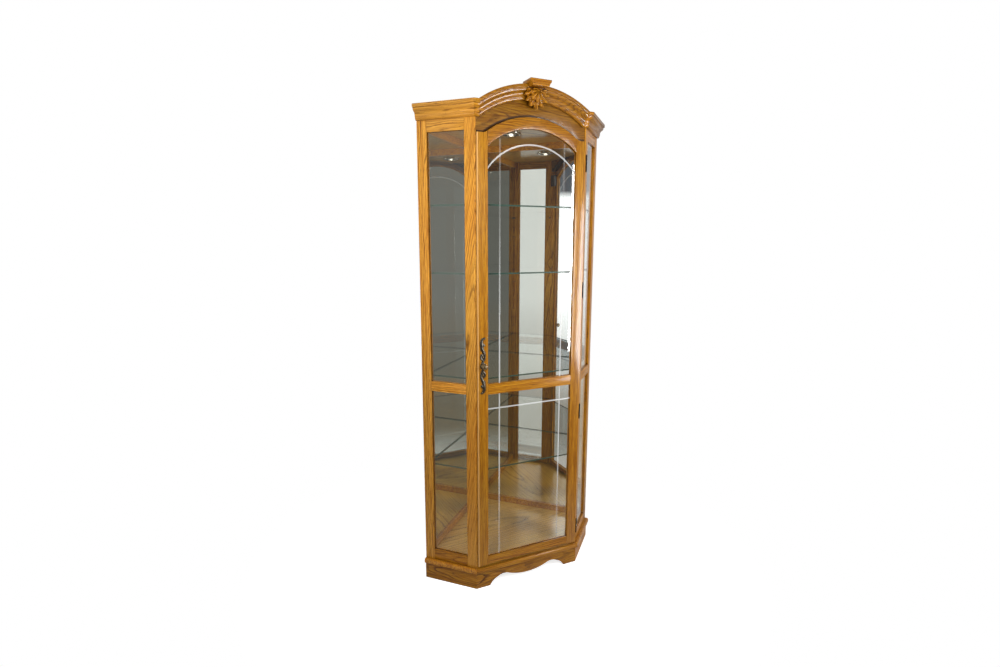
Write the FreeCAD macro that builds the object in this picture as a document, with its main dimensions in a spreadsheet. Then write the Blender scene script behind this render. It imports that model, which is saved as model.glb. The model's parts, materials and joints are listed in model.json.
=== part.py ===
import FreeCAD, Part
import math
import os
import Sketcher

# A five-sided curio cabinet: an arched glass door at the front, two glazed frames at 45 degrees,
# and two mirrored backs that meet at a right angle. Millimetres, +Z up, front towards -Y.
# The plan is laid out from the front plane of the frames; SHIFT then centres the depth on the origin.

DIMENSIONS = [
    ("half_front", 234, "from the centre line to a front corner of the carcase"),
    ("side_width", 231, "width of a glazed side frame along its 45 degree face"),
    ("frame_thick", 20, "thickness of the side frames"),
    ("plinth_high", 90, "height of the plinth"),
    ("plinth_thick", 20, "thickness of the plinth boards"),
    ("plinth_proud", 6, "how far the plinth stands out from the carcase"),
    ("cap_high", 18, "height of the moulding at the top of the plinth"),
    ("body_high", 1750, "from the plinth to the underside of the crown"),
    ("crown_high", 54, "height of the crown moulding"),
    ("crown_proud", 32, "how far the crown stands out"),
    ("crown_rise_centre", 1563, "height of the centre of the crown's arch"),
    ("crown_inner_arc", 351, "radius of the crown's lower edge"),
    ("crown_outer_arc", 402, "radius of the crown's upper edge"),
    ("keystone_front", 62, "how far the keystone stands out"),
    ("keystone_top", 1976, "overall height, at the top of the keystone"),
    ("cap_tall", 24, "height of the keystone's cap"),
    ("cap_half_top", 43, "half the width of the keystone's cap at its top"),
    ("cap_half_low", 33, "half the width of the keystone's cap at its foot"),
    ("leaf_half", 44, "half the width of the carved leaf"),
    ("leaf_tall", 72, "height of the carved leaf"),
    ("leaf_deep", 46, "depth of the carved leaf"),
    ("stile_wide", 40, "width of a side frame's stiles"),
    ("side_bottom_rail", 44, "height of a side frame's bottom rail"),
    ("side_mid_low", 819, "lower edge of a side frame's middle rail"),
    ("side_mid_high", 858, "upper edge of a side frame's middle rail"),
    ("side_top_low", 1797.5, "lower edge of a side frame's top rail"),
    ("frame_top", 1888, "top of the side frames, hidden by the crown"),
    ("glass_thick", 4, "thickness of the panes and mirrors"),
    ("rebate", 6, "width of the rebates that hold the panes"),
    ("side_lip", 7, "wood left in front of a side pane"),
    ("stop_deep", 9, "depth of the side glass stops"),
    ("board_thick", 16, "thickness of the floor"),
    ("ceiling_low", 1834, "underside of the ceiling"),
    ("ceiling_thick", 12, "thickness of the ceiling"),
    ("frieze_thick", 19, "thickness of the arched frieze board"),
    ("back_thick", 6, "thickness of the plywood backs"),
    ("back_rail_thick", 12, "thickness of the rails above and below the mirrors"),
    ("mirror_low", 134, "lower edge of the mirrors"),
    ("mirror_high", 1806, "upper edge of the mirrors"),
    ("post_half", 22, "half the width of the rear corner post's face"),
    ("shelf_thick", 6, "thickness of the glass shelves"),
    ("shelf_front", 16, "distance of the shelves' front edge behind the front plane"),
    ("pin_radius", 2.5, "radius of a shelf pin"),
    ("pin_pitch", 50.8, "spacing of the shelf pin holes"),
    ("pin_near", 12, "front pin holes, along a side frame from its front corner"),
    ("pin_far", 216, "rear pin holes, along a side frame from its front corner"),
    ("door_half", 229, "half the width of the door"),
    ("door_low", 100, "bottom of the door"),
    ("door_shoulder", 1787, "top of the door's stiles"),
    ("door_arc", 319, "radius of the door's top edge"),
    ("door_ease", 30, "radius of the curve from the door's shoulder into its arched top"),
    ("door_glass_arc", 278, "radius of the door's upper pane opening"),
    ("door_centre", 1536, "height of the centre of the door's arches"),
    ("door_opening_half", 186.5, "half the width of the door's pane openings"),
    ("door_mid_low", 820, "lower edge of the door's middle rail"),
    ("door_mid_high", 861, "upper edge of the door's middle rail"),
    ("door_bottom_high", 136, "upper edge of the door's bottom rail"),
    ("door_gap", 2.2, "gap between the door's lip and the frame, filled by the hinge leaves"),
    ("door_lip", 9, "thickness of the door's lip, in front of the frame"),
    ("door_inner", 10, "thickness of the part of the door inside the opening"),
    ("door_lip_side", 26, "width of the lip at the sides"),
    ("door_lip_end", 12, "width of the lip at the top and bottom"),
    ("door_pane_lip", 6, "wood left in front of a door pane"),
    ("groove_side", 136, "distance of the upright grooves from the centre line"),
    ("groove_arc", 232, "radius of the arched groove"),
    ("groove_centre", 1526, "height of the centre of the arched groove"),
    ("groove_level", 761, "height of the level groove in the lower pane"),
    ("groove_half", 3, "half the width of a groove"),
    ("groove_deep", 1.2, "depth of a groove"),
    ("hinge_high", 64, "length of a hinge barrel"),
    ("hinge_radius", 3, "radius of a hinge barrel"),
    ("hinge_across", 236.6, "hinge axis from the centre line"),
    ("hinge_forward", 4.2, "hinge axis in front of the frame"),
    ("leaf_thick", 1, "thickness of a hinge leaf"),
    ("pin_hinge_radius", 1.2, "radius of a hinge pin"),
    ("handle_across", 208.5, "handle from the centre line"),
    ("handle_level", 936, "height of the handle's centre"),
    ("handle_ring", 35.5, "centre of each ring of the backplate, above and below the knob"),
    ("plate_thick", 3, "thickness of the handle's backplate"),
    ("catch_level", 1730, "height of the catch's centre"),
    ("light_behind", 185, "distance of the ceiling light behind the front plane"),
    ("ring_radius", 39, "outer radius of the light's trim ring"),
    ("light_hole", 31, "radius of the hole in the ceiling for the light"),
]

HINGE_LEVELS = (171, 696, 1209, 1706)
SHELF_LEVELS = (500, 874.6, 1281, 1535)

# Rows of pin holes: the shelf they are measured from, and the first and last hole counted from it.
HOLE_ROWS = ((500, -3, 4), (874.6, 0, 15))
PIN_CLEARANCE = 0.1
PIN_HOLE_DEEP = 12
FIT = 0.2

# The wave along the foot of the plinth: half of it, from the foot inwards; pairs are arcs.
PLINTH_FOOT = (176, 0)
PLINTH_KNEE = ((161, 19), (140, 31))
PLINTH_CREST = (113, 38.5)
PLINTH_WAIST = (85, 31.5)
PLINTH_MIDDLE = (0, 16.5)

# The crown's section between its flat foot and its top fillet: out from the frames, and up.
CROWN_BEAD = ((9.4, 4), (11, 11))
CROWN_STEP = ((12.5, 11), (12.5, 14))
CROWN_COVE = ((14.2, 23), (20, 29))
CROWN_OVOLO = ((25.4, 34), (27, 41))
CROWN_FOOT = 5
CROWN_FILLET = 42

HALF_MITRE = math.tan(math.radians(22.5))
Q = math.sqrt(0.5)
UP = FreeCAD.Vector(0, 0, 1)

doc = FreeCAD.newDocument("CurioCabinet")
sheet = doc.addObject("Spreadsheet::Sheet", "Dimensions")
for row, (alias, value, note) in enumerate(DIMENSIONS, start=1):
    sheet.set(f"A{row}", alias)
    sheet.set(f"B{row}", str(value))
    sheet.setAlias(f"B{row}", alias)
    sheet.set(f"C{row}", note)
doc.recompute()

nodes = []


def dim(alias):
    return float(sheet.get(alias))


FRONT = dim("half_front")
BACK_X = FRONT + dim("side_width") * Q
BACK_Y = dim("side_width") * Q
WALL = BACK_X + BACK_Y
BODY_LOW = dim("plinth_high")
CROWN_LOW = BODY_LOW + dim("body_high")
CROWN_TOP = CROWN_LOW + dim("crown_high")
SHIFT = FreeCAD.Placement(FreeCAD.Vector(0, (dim("keystone_front") - WALL) / 2, 0), FreeCAD.Rotation())


# ---- placements ----

def flat(level=0):
    """Outline in plan, padded upwards from a level."""
    return SHIFT * FreeCAD.Placement(FreeCAD.Vector(0, 0, level), FreeCAD.Rotation())


def upright(back):
    """Outline seen from the front, padded forwards from a depth."""
    upwards = FreeCAD.Rotation(FreeCAD.Vector(1, 0, 0), 90)
    return SHIFT * FreeCAD.Placement(FreeCAD.Vector(0, back, 0), upwards)


def side_face(side, level=0):
    """Side frame: X along the face from the front corner, side * Y inwards. side is 1 right, -1 left."""
    turn = 90 - 45 * side
    return SHIFT * FreeCAD.Placement(FreeCAD.Vector(side * FRONT, 0, level), FreeCAD.Rotation(UP, turn))


def wall_face(side, level=0):
    """Mirrored back: X along the wall from the side frame, side * Y inwards."""
    turn = 90 + 45 * side
    corner = FreeCAD.Vector(side * BACK_X, BACK_Y, level)
    return SHIFT * FreeCAD.Placement(corner, FreeCAD.Rotation(UP, turn))


def section(base, outward, level=0):
    """Moulding section: X outwards, Y upwards, padded along the length."""
    along = outward.cross(UP)
    spin = FreeCAD.Rotation(outward, UP, along, "XYZ")
    return SHIFT * FreeCAD.Placement(base + UP * level, spin)


# ---- building blocks ----

def vec(point):
    return FreeCAD.Vector(point[0], point[1], 0)


def edges(outline):
    """Closed outline of points; a pair of points is an arc through the first to the second."""
    here = outline[0]
    shapes = []
    for step in outline[1:] + outline[:1]:
        if isinstance(step[0], tuple):
            middle, end = step
            shapes.append(Part.Arc(vec(here), vec(middle), vec(end)))
        else:
            end = step
            if vec(here).distanceToPoint(vec(end)) > 1e-6:
                shapes.append(Part.LineSegment(vec(here), vec(end)))
        here = end
    return shapes


def origin_plane(body, role):
    return next(item for item in body.Origin.OriginFeatures if item.Role == role)


def outline_sketch(body, name, outline):
    sketch = body.newObject("Sketcher::SketchObject", name)
    sketch.AttachmentSupport = [(origin_plane(body, "XY_Plane"), "")]
    sketch.MapMode = "FlatFace"
    for index, shape in enumerate(edges(outline)):
        sketch.addGeometry(shape, False)
        sketch.addConstraint(Sketcher.Constraint("Block", index))
    return sketch


def padded(name, outline, length, place):
    """A board or stick: an outline padded by a length, given as an expression on the sheet."""
    body = doc.addObject("PartDesign::Body", name)
    sketch = outline_sketch(body, name + "_outline", outline)
    pad = body.newObject("PartDesign::Pad", name + "_pad")
    pad.Profile = sketch
    pad.setExpression("Length", length)
    sketch.Visibility = False
    body.Placement = place
    return body


def revolved(name, outline, axis, angle, place, centred=False):
    body = doc.addObject("PartDesign::Body", name)
    sketch = outline_sketch(body, name + "_outline", outline)
    turned = body.newObject("PartDesign::Revolution", name + "_turned")
    turned.Profile = sketch
    turned.ReferenceAxis = (sketch, [axis])
    turned.Angle = angle
    turned.Midplane = centred
    body.Placement = place
    return body


def box(name, low, high, place=None):
    item = doc.addObject("Part::Box", name)
    item.Length, item.Width, item.Height = (b - a for a, b in zip(low, high))
    base = FreeCAD.Placement(FreeCAD.Vector(*low), FreeCAD.Rotation())
    item.Placement = (place or SHIFT) * base
    return item


def rod(name, radius, length, base, direction, place=None):
    item = doc.addObject("Part::Cylinder", name)
    item.Radius = radius
    item.Height = length
    spin = FreeCAD.Rotation(UP, FreeCAD.Vector(*direction))
    item.Placement = (place or SHIFT) * FreeCAD.Placement(FreeCAD.Vector(*base), spin)
    return item


def joined(name, items):
    fuse = doc.addObject("Part::MultiFuse", name)
    fuse.Shapes = items
    return fuse


def gathered(name, items):
    """Separate solids that share one node."""
    together = doc.addObject("Part::Compound", name)
    together.Links = items
    return together


def less(name, base, tools):
    cut = doc.addObject("Part::Cut", name)
    cut.Base = base
    cut.Tool = tools[0] if len(tools) == 1 else gathered(name + "_tools", tools)
    return cut


def keep(item, label):
    item.Label = label
    nodes.append(item)
    return item


def half_space(name, point, normal, low, high):
    """A block that fills the side of an upright plane that its normal points to."""
    reach = 500
    turn = math.degrees(math.atan2(normal[1], normal[0])) - 90
    spin = FreeCAD.Rotation(UP, turn)
    base = FreeCAD.Vector(point[0], point[1], low) - spin.multVec(FreeCAD.Vector(reach / 2, 0, 0))
    item = doc.addObject("Part::Box", name)
    item.Length = reach
    item.Width = reach
    item.Height = high - low
    item.Placement = SHIFT * FreeCAD.Placement(base, spin)
    return item


def moved(outline, change):
    """The outline with every point changed, those of its arcs too."""
    return [tuple(change(p) for p in step) if isinstance(step[0], tuple) else change(step)
            for step in outline]


def mirrored_y(outline, side):
    """The same outline for the other hand, where inwards is -Y."""
    return moved(outline, lambda point: (point[0], point[1] * side))


def mirrored_x(outline, side):
    return moved(outline, lambda point: (point[0] * side, point[1]))


def rectangle(left, right, low, high):
    return [(left, low), (right, low), (right, high), (left, high)]


def hand(side):
    return "right" if side == 1 else "left"


def arc_height(centre, radius, across):
    return centre + math.sqrt(radius ** 2 - across ** 2)


def arc_across(centre, radius, level):
    return math.sqrt(radius ** 2 - (level - centre) ** 2)


def mitre_tools(name, side, low, high):
    """Blocks on either side of the mitre between the front and a side face."""
    normal = (side * math.cos(math.radians(22.5)), math.sin(math.radians(22.5)))
    point = (side * FRONT, 0)
    away = (-normal[0], -normal[1])
    outside = half_space(name + "_out", point, normal, low, high)
    return outside, half_space(name + "_in", point, away, low, high)


# ---- plinth ----

def plinth_wave():
    """The shape cut out of the foot of the front board."""
    def left(point):
        return (-point[0], point[1])

    bend, knee = PLINTH_KNEE
    return [(-PLINTH_FOOT[0], -1), (PLINTH_FOOT[0], -1), PLINTH_FOOT, (bend, knee),
            (PLINTH_CREST, PLINTH_WAIST), (PLINTH_MIDDLE, left(PLINTH_WAIST)),
            (left(PLINTH_CREST), left(knee)), (left(bend), left(PLINTH_FOOT))]


def plinth():
    proud = dim("plinth_proud")
    inside = dim("plinth_thick") - proud
    wide = FRONT + proud * HALF_MITRE
    narrow = FRONT - inside * HALF_MITRE
    board = padded("plinth_front_board",
                   [(-wide, -proud), (wide, -proud), (narrow, inside), (-narrow, inside)],
                   "Dimensions.plinth_high", flat())
    shape = padded("plinth_scallop", plinth_wave(), "Dimensions.plinth_thick * 2", upright(inside + 10))
    keep(less("plinth_front_cut", board, [shape]), "plinth_front")
    cap = plinth_cap_outline()
    caps = []
    level = BODY_LOW - dim("cap_high")
    outline = [(-proud * HALF_MITRE, -proud), (dim("side_width"), -proud),
               (dim("side_width"), inside), (inside * HALF_MITRE, inside)]
    for side in (1, -1):
        keep(padded(f"plinth_{hand(side)}_board", mirrored_y(outline, side), "Dimensions.plinth_high",
                    side_face(side)), f"plinth_{hand(side)}")
        caps.append(side_stick(f"plinth_cap_{hand(side)}", side, cap, level, BODY_LOW))
    keep(gathered("plinth_caps_both", caps), "plinth_cap_sides")
    tools = [mitre_tools(f"plinth_cap_mitre_{hand(side)}", side, level - 5, BODY_LOW + 5)[0]
             for side in (1, -1)]
    reach = FRONT + 30
    stick = padded("plinth_cap_front_stick", cap, "2 * (Dimensions.half_front + 30)",
                   section(FreeCAD.Vector(reach, 0, 0), FreeCAD.Vector(0, -1, 0), level))
    keep(less("plinth_cap_front_cut", stick, tools), "plinth_cap_front")


def plinth_cap_outline():
    proud = dim("plinth_proud")
    top = dim("cap_high")
    return [(proud, 0), (proud + 9, 0), ((proud + 9.7, 0.3), (proud + 10, 1)), (proud + 10, top - 9),
            ((proud + 7.6, top - 2.8), (proud + 2, top)), (proud, top)]


def side_stick(name, side, outline, low, high):
    """A moulding along a side face, mitred at the front corner and square at the wall."""
    along = FreeCAD.Vector(side * Q, Q, 0)
    outward = FreeCAD.Vector(side * Q, -Q, 0)
    run_up = 40
    start = FreeCAD.Vector(side * FRONT, 0, 0)
    base = start + along * dim("side_width") if side == 1 else start - along * run_up
    place = section(base, outward, low)
    stick = padded(name + "_stick", outline, f"Dimensions.side_width + {run_up}", place)
    tool = mitre_tools(name + "_mitre", side, low - 5, high + 5)[1]
    return less(name + "_cut", stick, [tool])


# ---- side frames ----

def side_openings():
    """Lower and upper pane openings of a side frame: low and high edges."""
    lower = (BODY_LOW + dim("side_bottom_rail"), dim("side_mid_low"))
    return lower, (dim("side_mid_high"), dim("side_top_low"))


def side_rebates(name, side):
    rebate = dim("rebate")
    near = dim("stile_wide") - rebate
    far = dim("side_width") - dim("stile_wide") + rebate
    tools = []
    for index, (low, high) in enumerate(side_openings()):
        outline = mirrored_y(rectangle(near, far, dim("side_lip"), dim("frame_thick") + 1), side)
        tools.append(padded(f"{name}_rebate_{index}", outline, f"{high - low + 2 * rebate}",
                            side_face(side, low - rebate)))
    return tools


def hole_levels():
    """Heights of the centres of the pin holes in one row."""
    pitch = dim("pin_pitch")
    return [shelf + step * pitch - dim("pin_radius")
            for shelf, first, last in HOLE_ROWS for step in range(first, last + 1)]


def pin_holes(name, side, along):
    radius = dim("pin_radius") + PIN_CLEARANCE
    start = side * (dim("frame_thick") - PIN_HOLE_DEEP + 2)
    return [rod(f"{name}_pin_hole_{index}", radius, PIN_HOLE_DEEP, (along, start, level), (0, side, 0),
                side_face(side)) for index, level in enumerate(hole_levels())]


def side_frame(side):
    name = hand(side)
    thick = dim("frame_thick")
    stile = dim("stile_wide")
    width = dim("side_width")
    clear = dim("door_half") + FIT
    notch = box(f"{name}_frieze_notch", (-clear, -2, frieze_low() - FIT),
                (clear, dim("frieze_thick") + 1 + FIT, dim("frame_top") + 2))
    height = "Dimensions.frame_top - Dimensions.plinth_high"
    front = padded(f"{name}_front_stile_blank",
                   mirrored_y([(0, 0), (stile, 0), (stile, thick), (-thick, thick)], side),
                   height, side_face(side, BODY_LOW))
    tools = side_rebates(f"{name}_front", side) + [notch] + pin_holes(f"{name}_front", side, dim("pin_near"))
    if side == 1:
        tools += frame_screw_holes()
    keep(less(f"{name}_front_stile_cut", front, tools), f"{name}_front_stile")
    rear = padded(f"{name}_rear_stile_blank", mirrored_y(rectangle(width - stile, width, 0, thick), side),
                  height, side_face(side, BODY_LOW))
    tools = side_rebates(f"{name}_rear", side) + pin_holes(f"{name}_rear", side, dim("pin_far"))
    keep(less(f"{name}_rear_stile_cut", rear, tools), f"{name}_rear_stile")
    outline = mirrored_y(rectangle(stile, width - stile, 0, thick), side)
    rails = {"bottom_rail": (BODY_LOW, BODY_LOW + dim("side_bottom_rail")),
             "mid_rail": (dim("side_mid_low"), dim("side_mid_high")),
             "top_rail": (dim("side_top_low"), dim("frame_top"))}
    for rail, (low, high) in rails.items():
        blank = padded(f"{name}_{rail}_blank", outline, f"{high - low}", side_face(side, low))
        keep(less(f"{name}_{rail}_cut", blank, side_rebates(f"{name}_{rail}", side)), f"{name}_{rail}")


def side_panes():
    panes = {"lower": [], "upper": []}
    stops = []
    rebate = dim("rebate")
    lip = dim("side_lip")
    back = lip + dim("glass_thick")
    near = dim("stile_wide")
    far = dim("side_width") - near
    grip = rebate - 0.5
    for side in (1, -1):
        for level, (low, high) in zip(("lower", "upper"), side_openings()):
            name = f"{hand(side)}_{level}"
            outline = mirrored_y(rectangle(near - grip, far + grip, lip, back), side)
            panes[level].append(padded(f"{name}_pane", outline, f"{high - low + 2 * grip}",
                                       side_face(side, low - grip)))
            uprights = ((near - rebate, near), (far, far + rebate))
            for index, (start, end) in enumerate(uprights):
                upright_name = f"{name}_stop_upright_{index}"
                stops.append(stop(upright_name, side, start, end, low - rebate, high + rebate))
            for index, (start, end) in enumerate(((low - rebate, low), (high, high + rebate))):
                stops.append(stop(f"{name}_stop_level_{index}", side, near, far, start, end))
    keep(gathered("side_lower_panes", panes["lower"]), "side_glass_lower")
    keep(gathered("side_upper_panes", panes["upper"]), "side_glass_upper")
    keep(gathered("side_stops", stops), "side_glass_stops")


def stop(name, side, start, end, low, high):
    inner = dim("side_lip") + dim("glass_thick")
    outer = inner + dim("stop_deep")
    outline = mirrored_y(rectangle(start, end, inner, outer), side)
    return padded(name, outline, f"{high - low}", side_face(side, low))


# ---- floor, ceiling, backs ----

def interior(front, gap):
    """Plan of the inside between the frames and the backs, cut off at the rear post."""
    side_line = FRONT - dim("frame_thick") / Q - gap / Q
    wall_line = WALL - (dim("back_thick") + gap) / Q
    corner_y = (wall_line - side_line) / 2
    rear_y = WALL - dim("back_thick") / Q - dim("post_half") - gap
    rear_x = wall_line - rear_y
    right = [(side_line + front, front), (wall_line - corner_y, corner_y), (rear_x, rear_y)]
    return right + [(-x, y) for x, y in reversed(right)]


def floor_and_ceiling():
    keep(padded("floor_board", interior(0, FIT), "Dimensions.board_thick", flat(BODY_LOW)), "bottom_panel")
    board = padded("ceiling_board", interior(dim("frieze_thick") + 1 + FIT, FIT), "Dimensions.ceiling_thick",
                   flat(dim("ceiling_low")))
    below = (0, dim("light_behind"), dim("ceiling_low") - dim("ceiling_thick"))
    hole = rod("light_hole", dim("light_hole"), 3 * dim("ceiling_thick"), below, (0, 0, 1))
    keep(less("ceiling_cut", board, [hole]), "top_panel")


def backs():
    length = BACK_X / Q
    thick = dim("back_thick")
    start = dim("frame_thick") + FIT
    mirror_back = thick + dim("glass_thick")
    rail_back = thick + dim("back_rail_thick")
    post_y = WALL - thick / Q - dim("post_half")
    stop_at = ((BACK_X - dim("post_half")) + (post_y - BACK_Y)) * Q - 0.5
    bottoms = []
    tops = []
    top = dim("ceiling_low") + dim("ceiling_thick")
    for side in (1, -1):
        name = hand(side)
        end = length if side == 1 else length - thick
        panel = mirrored_y(rectangle(start, end, 0, thick), side)
        keep(padded(f"back_board_{name}", panel, f"{top}", wall_face(side)), f"back_panel_{name}")
        mirror = mirrored_y(rectangle(start + 0.5, stop_at, thick, mirror_back), side)
        keep(padded(f"mirror_pane_{name}", mirror, "Dimensions.mirror_high - Dimensions.mirror_low",
                    wall_face(side, dim("mirror_low"))), f"mirror_{name}")
        rail = mirrored_y(rectangle(start, stop_at, thick, rail_back), side)
        floor_top = BODY_LOW + dim("board_thick")
        bottoms.append(padded(f"back_bottom_rail_{name}", rail, f"{dim('mirror_low') - floor_top}",
                              wall_face(side, floor_top)))
        tops.append(padded(f"back_top_rail_{name}", rail, "Dimensions.ceiling_low - Dimensions.mirror_high",
                           wall_face(side, dim("mirror_high"))))
    keep(gathered("back_bottom_rails_both", bottoms), "back_bottom_rails")
    keep(gathered("back_top_rails_both", tops), "back_top_rails")
    rear_post(post_y, top)
    return post_y


def rear_post(front, top):
    """A triangular post that covers the joint between the mirrors and carries a pin for each shelf."""
    half = dim("post_half")
    radius = dim("pin_radius")
    wide = radius + PIN_CLEARANCE
    post = padded("rear_post_blank", [(-half, front), (half, front), (0, front + half)], f"{top}", flat())
    holes = [rod(f"post_pin_hole_{index}", wide, 20, (0, front + 8, level - radius), (0, -1, 0))
             for index, level in enumerate(SHELF_LEVELS)]
    keep(less("rear_post_cut", post, holes), "rear_corner_post")


def shelves(post_y):
    gap = 3
    face = dim("back_thick") + dim("glass_thick") + gap
    side_line = FRONT - (dim("frame_thick") + gap) / Q
    wall_line = WALL - face / Q
    front = dim("shelf_front")
    corner_y = (wall_line - side_line) / 2
    rear_y = post_y - 8
    right = [(side_line + front, front), (wall_line - corner_y, corner_y), (wall_line - rear_y, rear_y)]
    outline = right + [(-x, y) for x, y in reversed(right)]
    pins = []
    radius = dim("pin_radius")
    for number, level in enumerate(SHELF_LEVELS, start=1):
        pane = padded(f"shelf_pane_{number}", outline, "Dimensions.shelf_thick", flat(level))
        keep(pane, f"shelf_{number}")
        for side in (1, -1):
            for spot, along in (("front", dim("pin_near")), ("rear", dim("pin_far"))):
                pins.append(rod(f"pin_{number}_{hand(side)}_{spot}", radius, 19,
                                (along, side * (dim("frame_thick") - 9.5), level - radius), (0, side, 0),
                                side_face(side)))
        pins.append(rod(f"pin_{number}_post", radius, 23, (0, post_y + 7.5, level - radius), (0, -1, 0)))
    keep(gathered("shelf_pins_all", pins), "shelf_pins")


# ---- frieze, crown, keystone ----

def frieze_low():
    return dim("door_shoulder") - 9


def frieze():
    half = dim("door_half")
    low = frieze_low()
    centre = dim("door_centre")
    radius = dim("door_arc") - 9
    across = arc_across(centre, radius, low)
    crown_centre = dim("crown_rise_centre")
    crown_radius = dim("crown_outer_arc") - 4
    ends = arc_height(crown_centre, crown_radius, half)
    outline = [(-half, low), (-across, low), ((0, centre + radius), (across, low)), (half, low),
               (half, ends), ((0, crown_centre + crown_radius), (-half, ends))]
    board = padded("frieze", outline, "Dimensions.frieze_thick", upright(dim("frieze_thick") + 1))
    keep(board, "frieze_board")


def crown_outline(grow=0):
    """Section of the crown: how far out, and height above its lower edge, bottom to top."""
    out = dim("crown_proud") + grow
    top = dim("crown_high")

    def wider(point):
        return (point[0] + grow, point[1])

    curves = [tuple(wider(p) for p in curve) for curve in (CROWN_BEAD, CROWN_COVE, CROWN_OVOLO)]
    step = [wider(p) for p in CROWN_STEP]
    return ([(0, -grow), (CROWN_FOOT + grow, -grow), curves[0]] + step + curves[1:]
            + [(out, CROWN_FILLET - grow), (out, top + grow), (0, top + grow)])


def crown_arch_body(name, grow=0):
    centre = dim("crown_rise_centre")
    inner = dim("crown_inner_arc")
    scale = (dim("crown_outer_arc") - inner) / dim("crown_high")

    def turn(point):
        return (inner + point[1] * scale, -point[0])

    outline = moved(crown_outline(grow), turn)
    spin = FreeCAD.Rotation(FreeCAD.Vector(0, 1, 0), -90)
    place = SHIFT * FreeCAD.Placement(FreeCAD.Vector(0, 0, centre), spin)
    return revolved(name, outline, "V_Axis", 90, place, True)


def crown_joint_outline(side, inside):
    """Everything on one side of the sloping joint between the arch and a flat end of the crown."""
    centre = dim("crown_rise_centre")
    low_x = arc_across(centre, dim("crown_inner_arc"), CROWN_LOW)
    top_x = arc_across(centre, dim("crown_outer_arc"), CROWN_TOP)
    slope = (top_x - low_x) / dim("crown_high")
    spare = 60
    low = (side * (low_x - slope * spare), CROWN_LOW - spare)
    high = (side * (top_x + slope * spare), CROWN_TOP + spare)
    edge = side * (0 if inside else 700)
    return [low, high, (edge, high[1]), (edge, low[1])]


def crown():
    outline = crown_outline()
    for side in (1, -1):
        keep(side_stick(f"crown_{hand(side)}", side, outline, CROWN_LOW, CROWN_TOP), f"crown_{hand(side)}")
    ends = [padded(f"crown_end_{hand(side)}", crown_joint_outline(side, False), "120", upright(60))
            for side in (1, -1)]
    keep(less("crown_arch_cut", crown_arch_body("crown_arch_ring"), ends), "crown_arch")
    returns = []
    for side in (1, -1):
        name = f"crown_return_{hand(side)}"
        start = side * FRONT + 40
        stick = padded(name + "_stick", outline, "80",
                       section(FreeCAD.Vector(start, 0, 0), FreeCAD.Vector(0, -1, 0), CROWN_LOW))
        inner = padded(name + "_inner", crown_joint_outline(side, True), "120", upright(60))
        outer = mitre_tools(name + "_mitre", side, CROWN_LOW - 5, CROWN_TOP + 5)[0]
        returns.append(less(name + "_cut", stick, [inner, outer]))
    keep(gathered("crown_returns_both", returns), "crown_returns")


def keystone():
    top = dim("keystone_top")
    low = top - dim("cap_tall")
    out = dim("crown_proud")
    wide = dim("cap_half_top")
    narrow = dim("cap_half_low")
    face = -out - 0.5
    above_arch = dim("crown_rise_centre") + dim("crown_outer_arc") + 0.5
    right = [(narrow, low), (narrow + 3, low + 8), (wide, top - 7), (wide, top)]
    left = [(-x, z) for x, z in reversed(right)]
    slab = padded("keystone_cap_front", right + left, f"{dim('keystone_front') + face}", upright(face))
    ledge = box("keystone_cap_ledge", (-wide, face - 1.5, above_arch), (wide, 0, top))
    keep(joined("keystone_cap_whole", [slab, ledge]), "keystone_cap")
    half = dim("leaf_half")
    foot = low - dim("leaf_tall")
    outline = [(-narrow, low), (narrow, low), (half, low - 26), ((half - 4, low - 50), (24, foot + 10)),
               ((0, foot), (-24, foot + 10)), ((4 - half, low - 50), (-half, low - 26))]
    leaf = padded("keystone_leaf", outline, "Dimensions.leaf_deep", upright(0))
    keep(less("keystone_leaf_cut", leaf, [crown_arch_body("crown_arch_clear", 0.3)]), "keystone_carving")


# ---- ceiling light and catch ----

def light():
    low = dim("ceiling_low")
    ring = dim("ring_radius")
    place = SHIFT * FreeCAD.Placement(FreeCAD.Vector(0, dim("light_behind"), low),
                                      FreeCAD.Rotation(FreeCAD.Vector(1, 0, 0), 90))
    keep(revolved("light_ring", [(27, -8), (34, -8), ((37.6, -6.4), (ring, -2)), (ring, 0), (27, 0)],
                  "V_Axis", 360, place), "light_trim_ring")
    keep(revolved("light_cup", [(6, 24), (30.5, 24), (30.5, 0.2), (28.5, 0.2), (28.5, 22), (6, 22)],
                  "V_Axis", 360, place), "light_housing")
    keep(revolved("light_capsule", [(0, -1), ((3.4, 0.6), (5, 4)), (5, 14), (5.8, 14), (5.8, 24), (0, 24)],
                  "V_Axis", 360, place), "light_bulb")


def catch():
    level = dim("catch_level")
    line = FRONT - dim("frame_thick") / Q
    near, far = 9.5, 22
    outline = [(-line - near, near), (-190, near), (-190, far), (-line - far, far)]
    keep(padded("catch_case", outline, "57", flat(level - 28.5)), "magnetic_catch")
    back = door_back()
    keep(box("catch_strike", (-201.5, back, level - 20), (-193.5, back + 1, level + 20)), "catch_plate")


# ---- door ----

def lip_back():
    return -dim("door_gap")


def door_front():
    return lip_back() - dim("door_lip")


def pane_front():
    return door_front() + dim("door_pane_lip")


def pane_back():
    return pane_front() + dim("glass_thick")


def door_back():
    return lip_back() + dim("door_inner")


def door_layers(name, lip_outline, inner_outline, tools):
    """A board of the door: a lip in front of the frame, and a thinner part inside the opening."""
    lip = padded(name + "_lip", lip_outline, "Dimensions.door_lip", upright(lip_back()))
    inner = padded(name + "_inner", inner_outline, "Dimensions.door_inner", upright(door_back()))
    return less(name + "_cut", joined(name + "_blank", [lip, inner]), tools)


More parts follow.
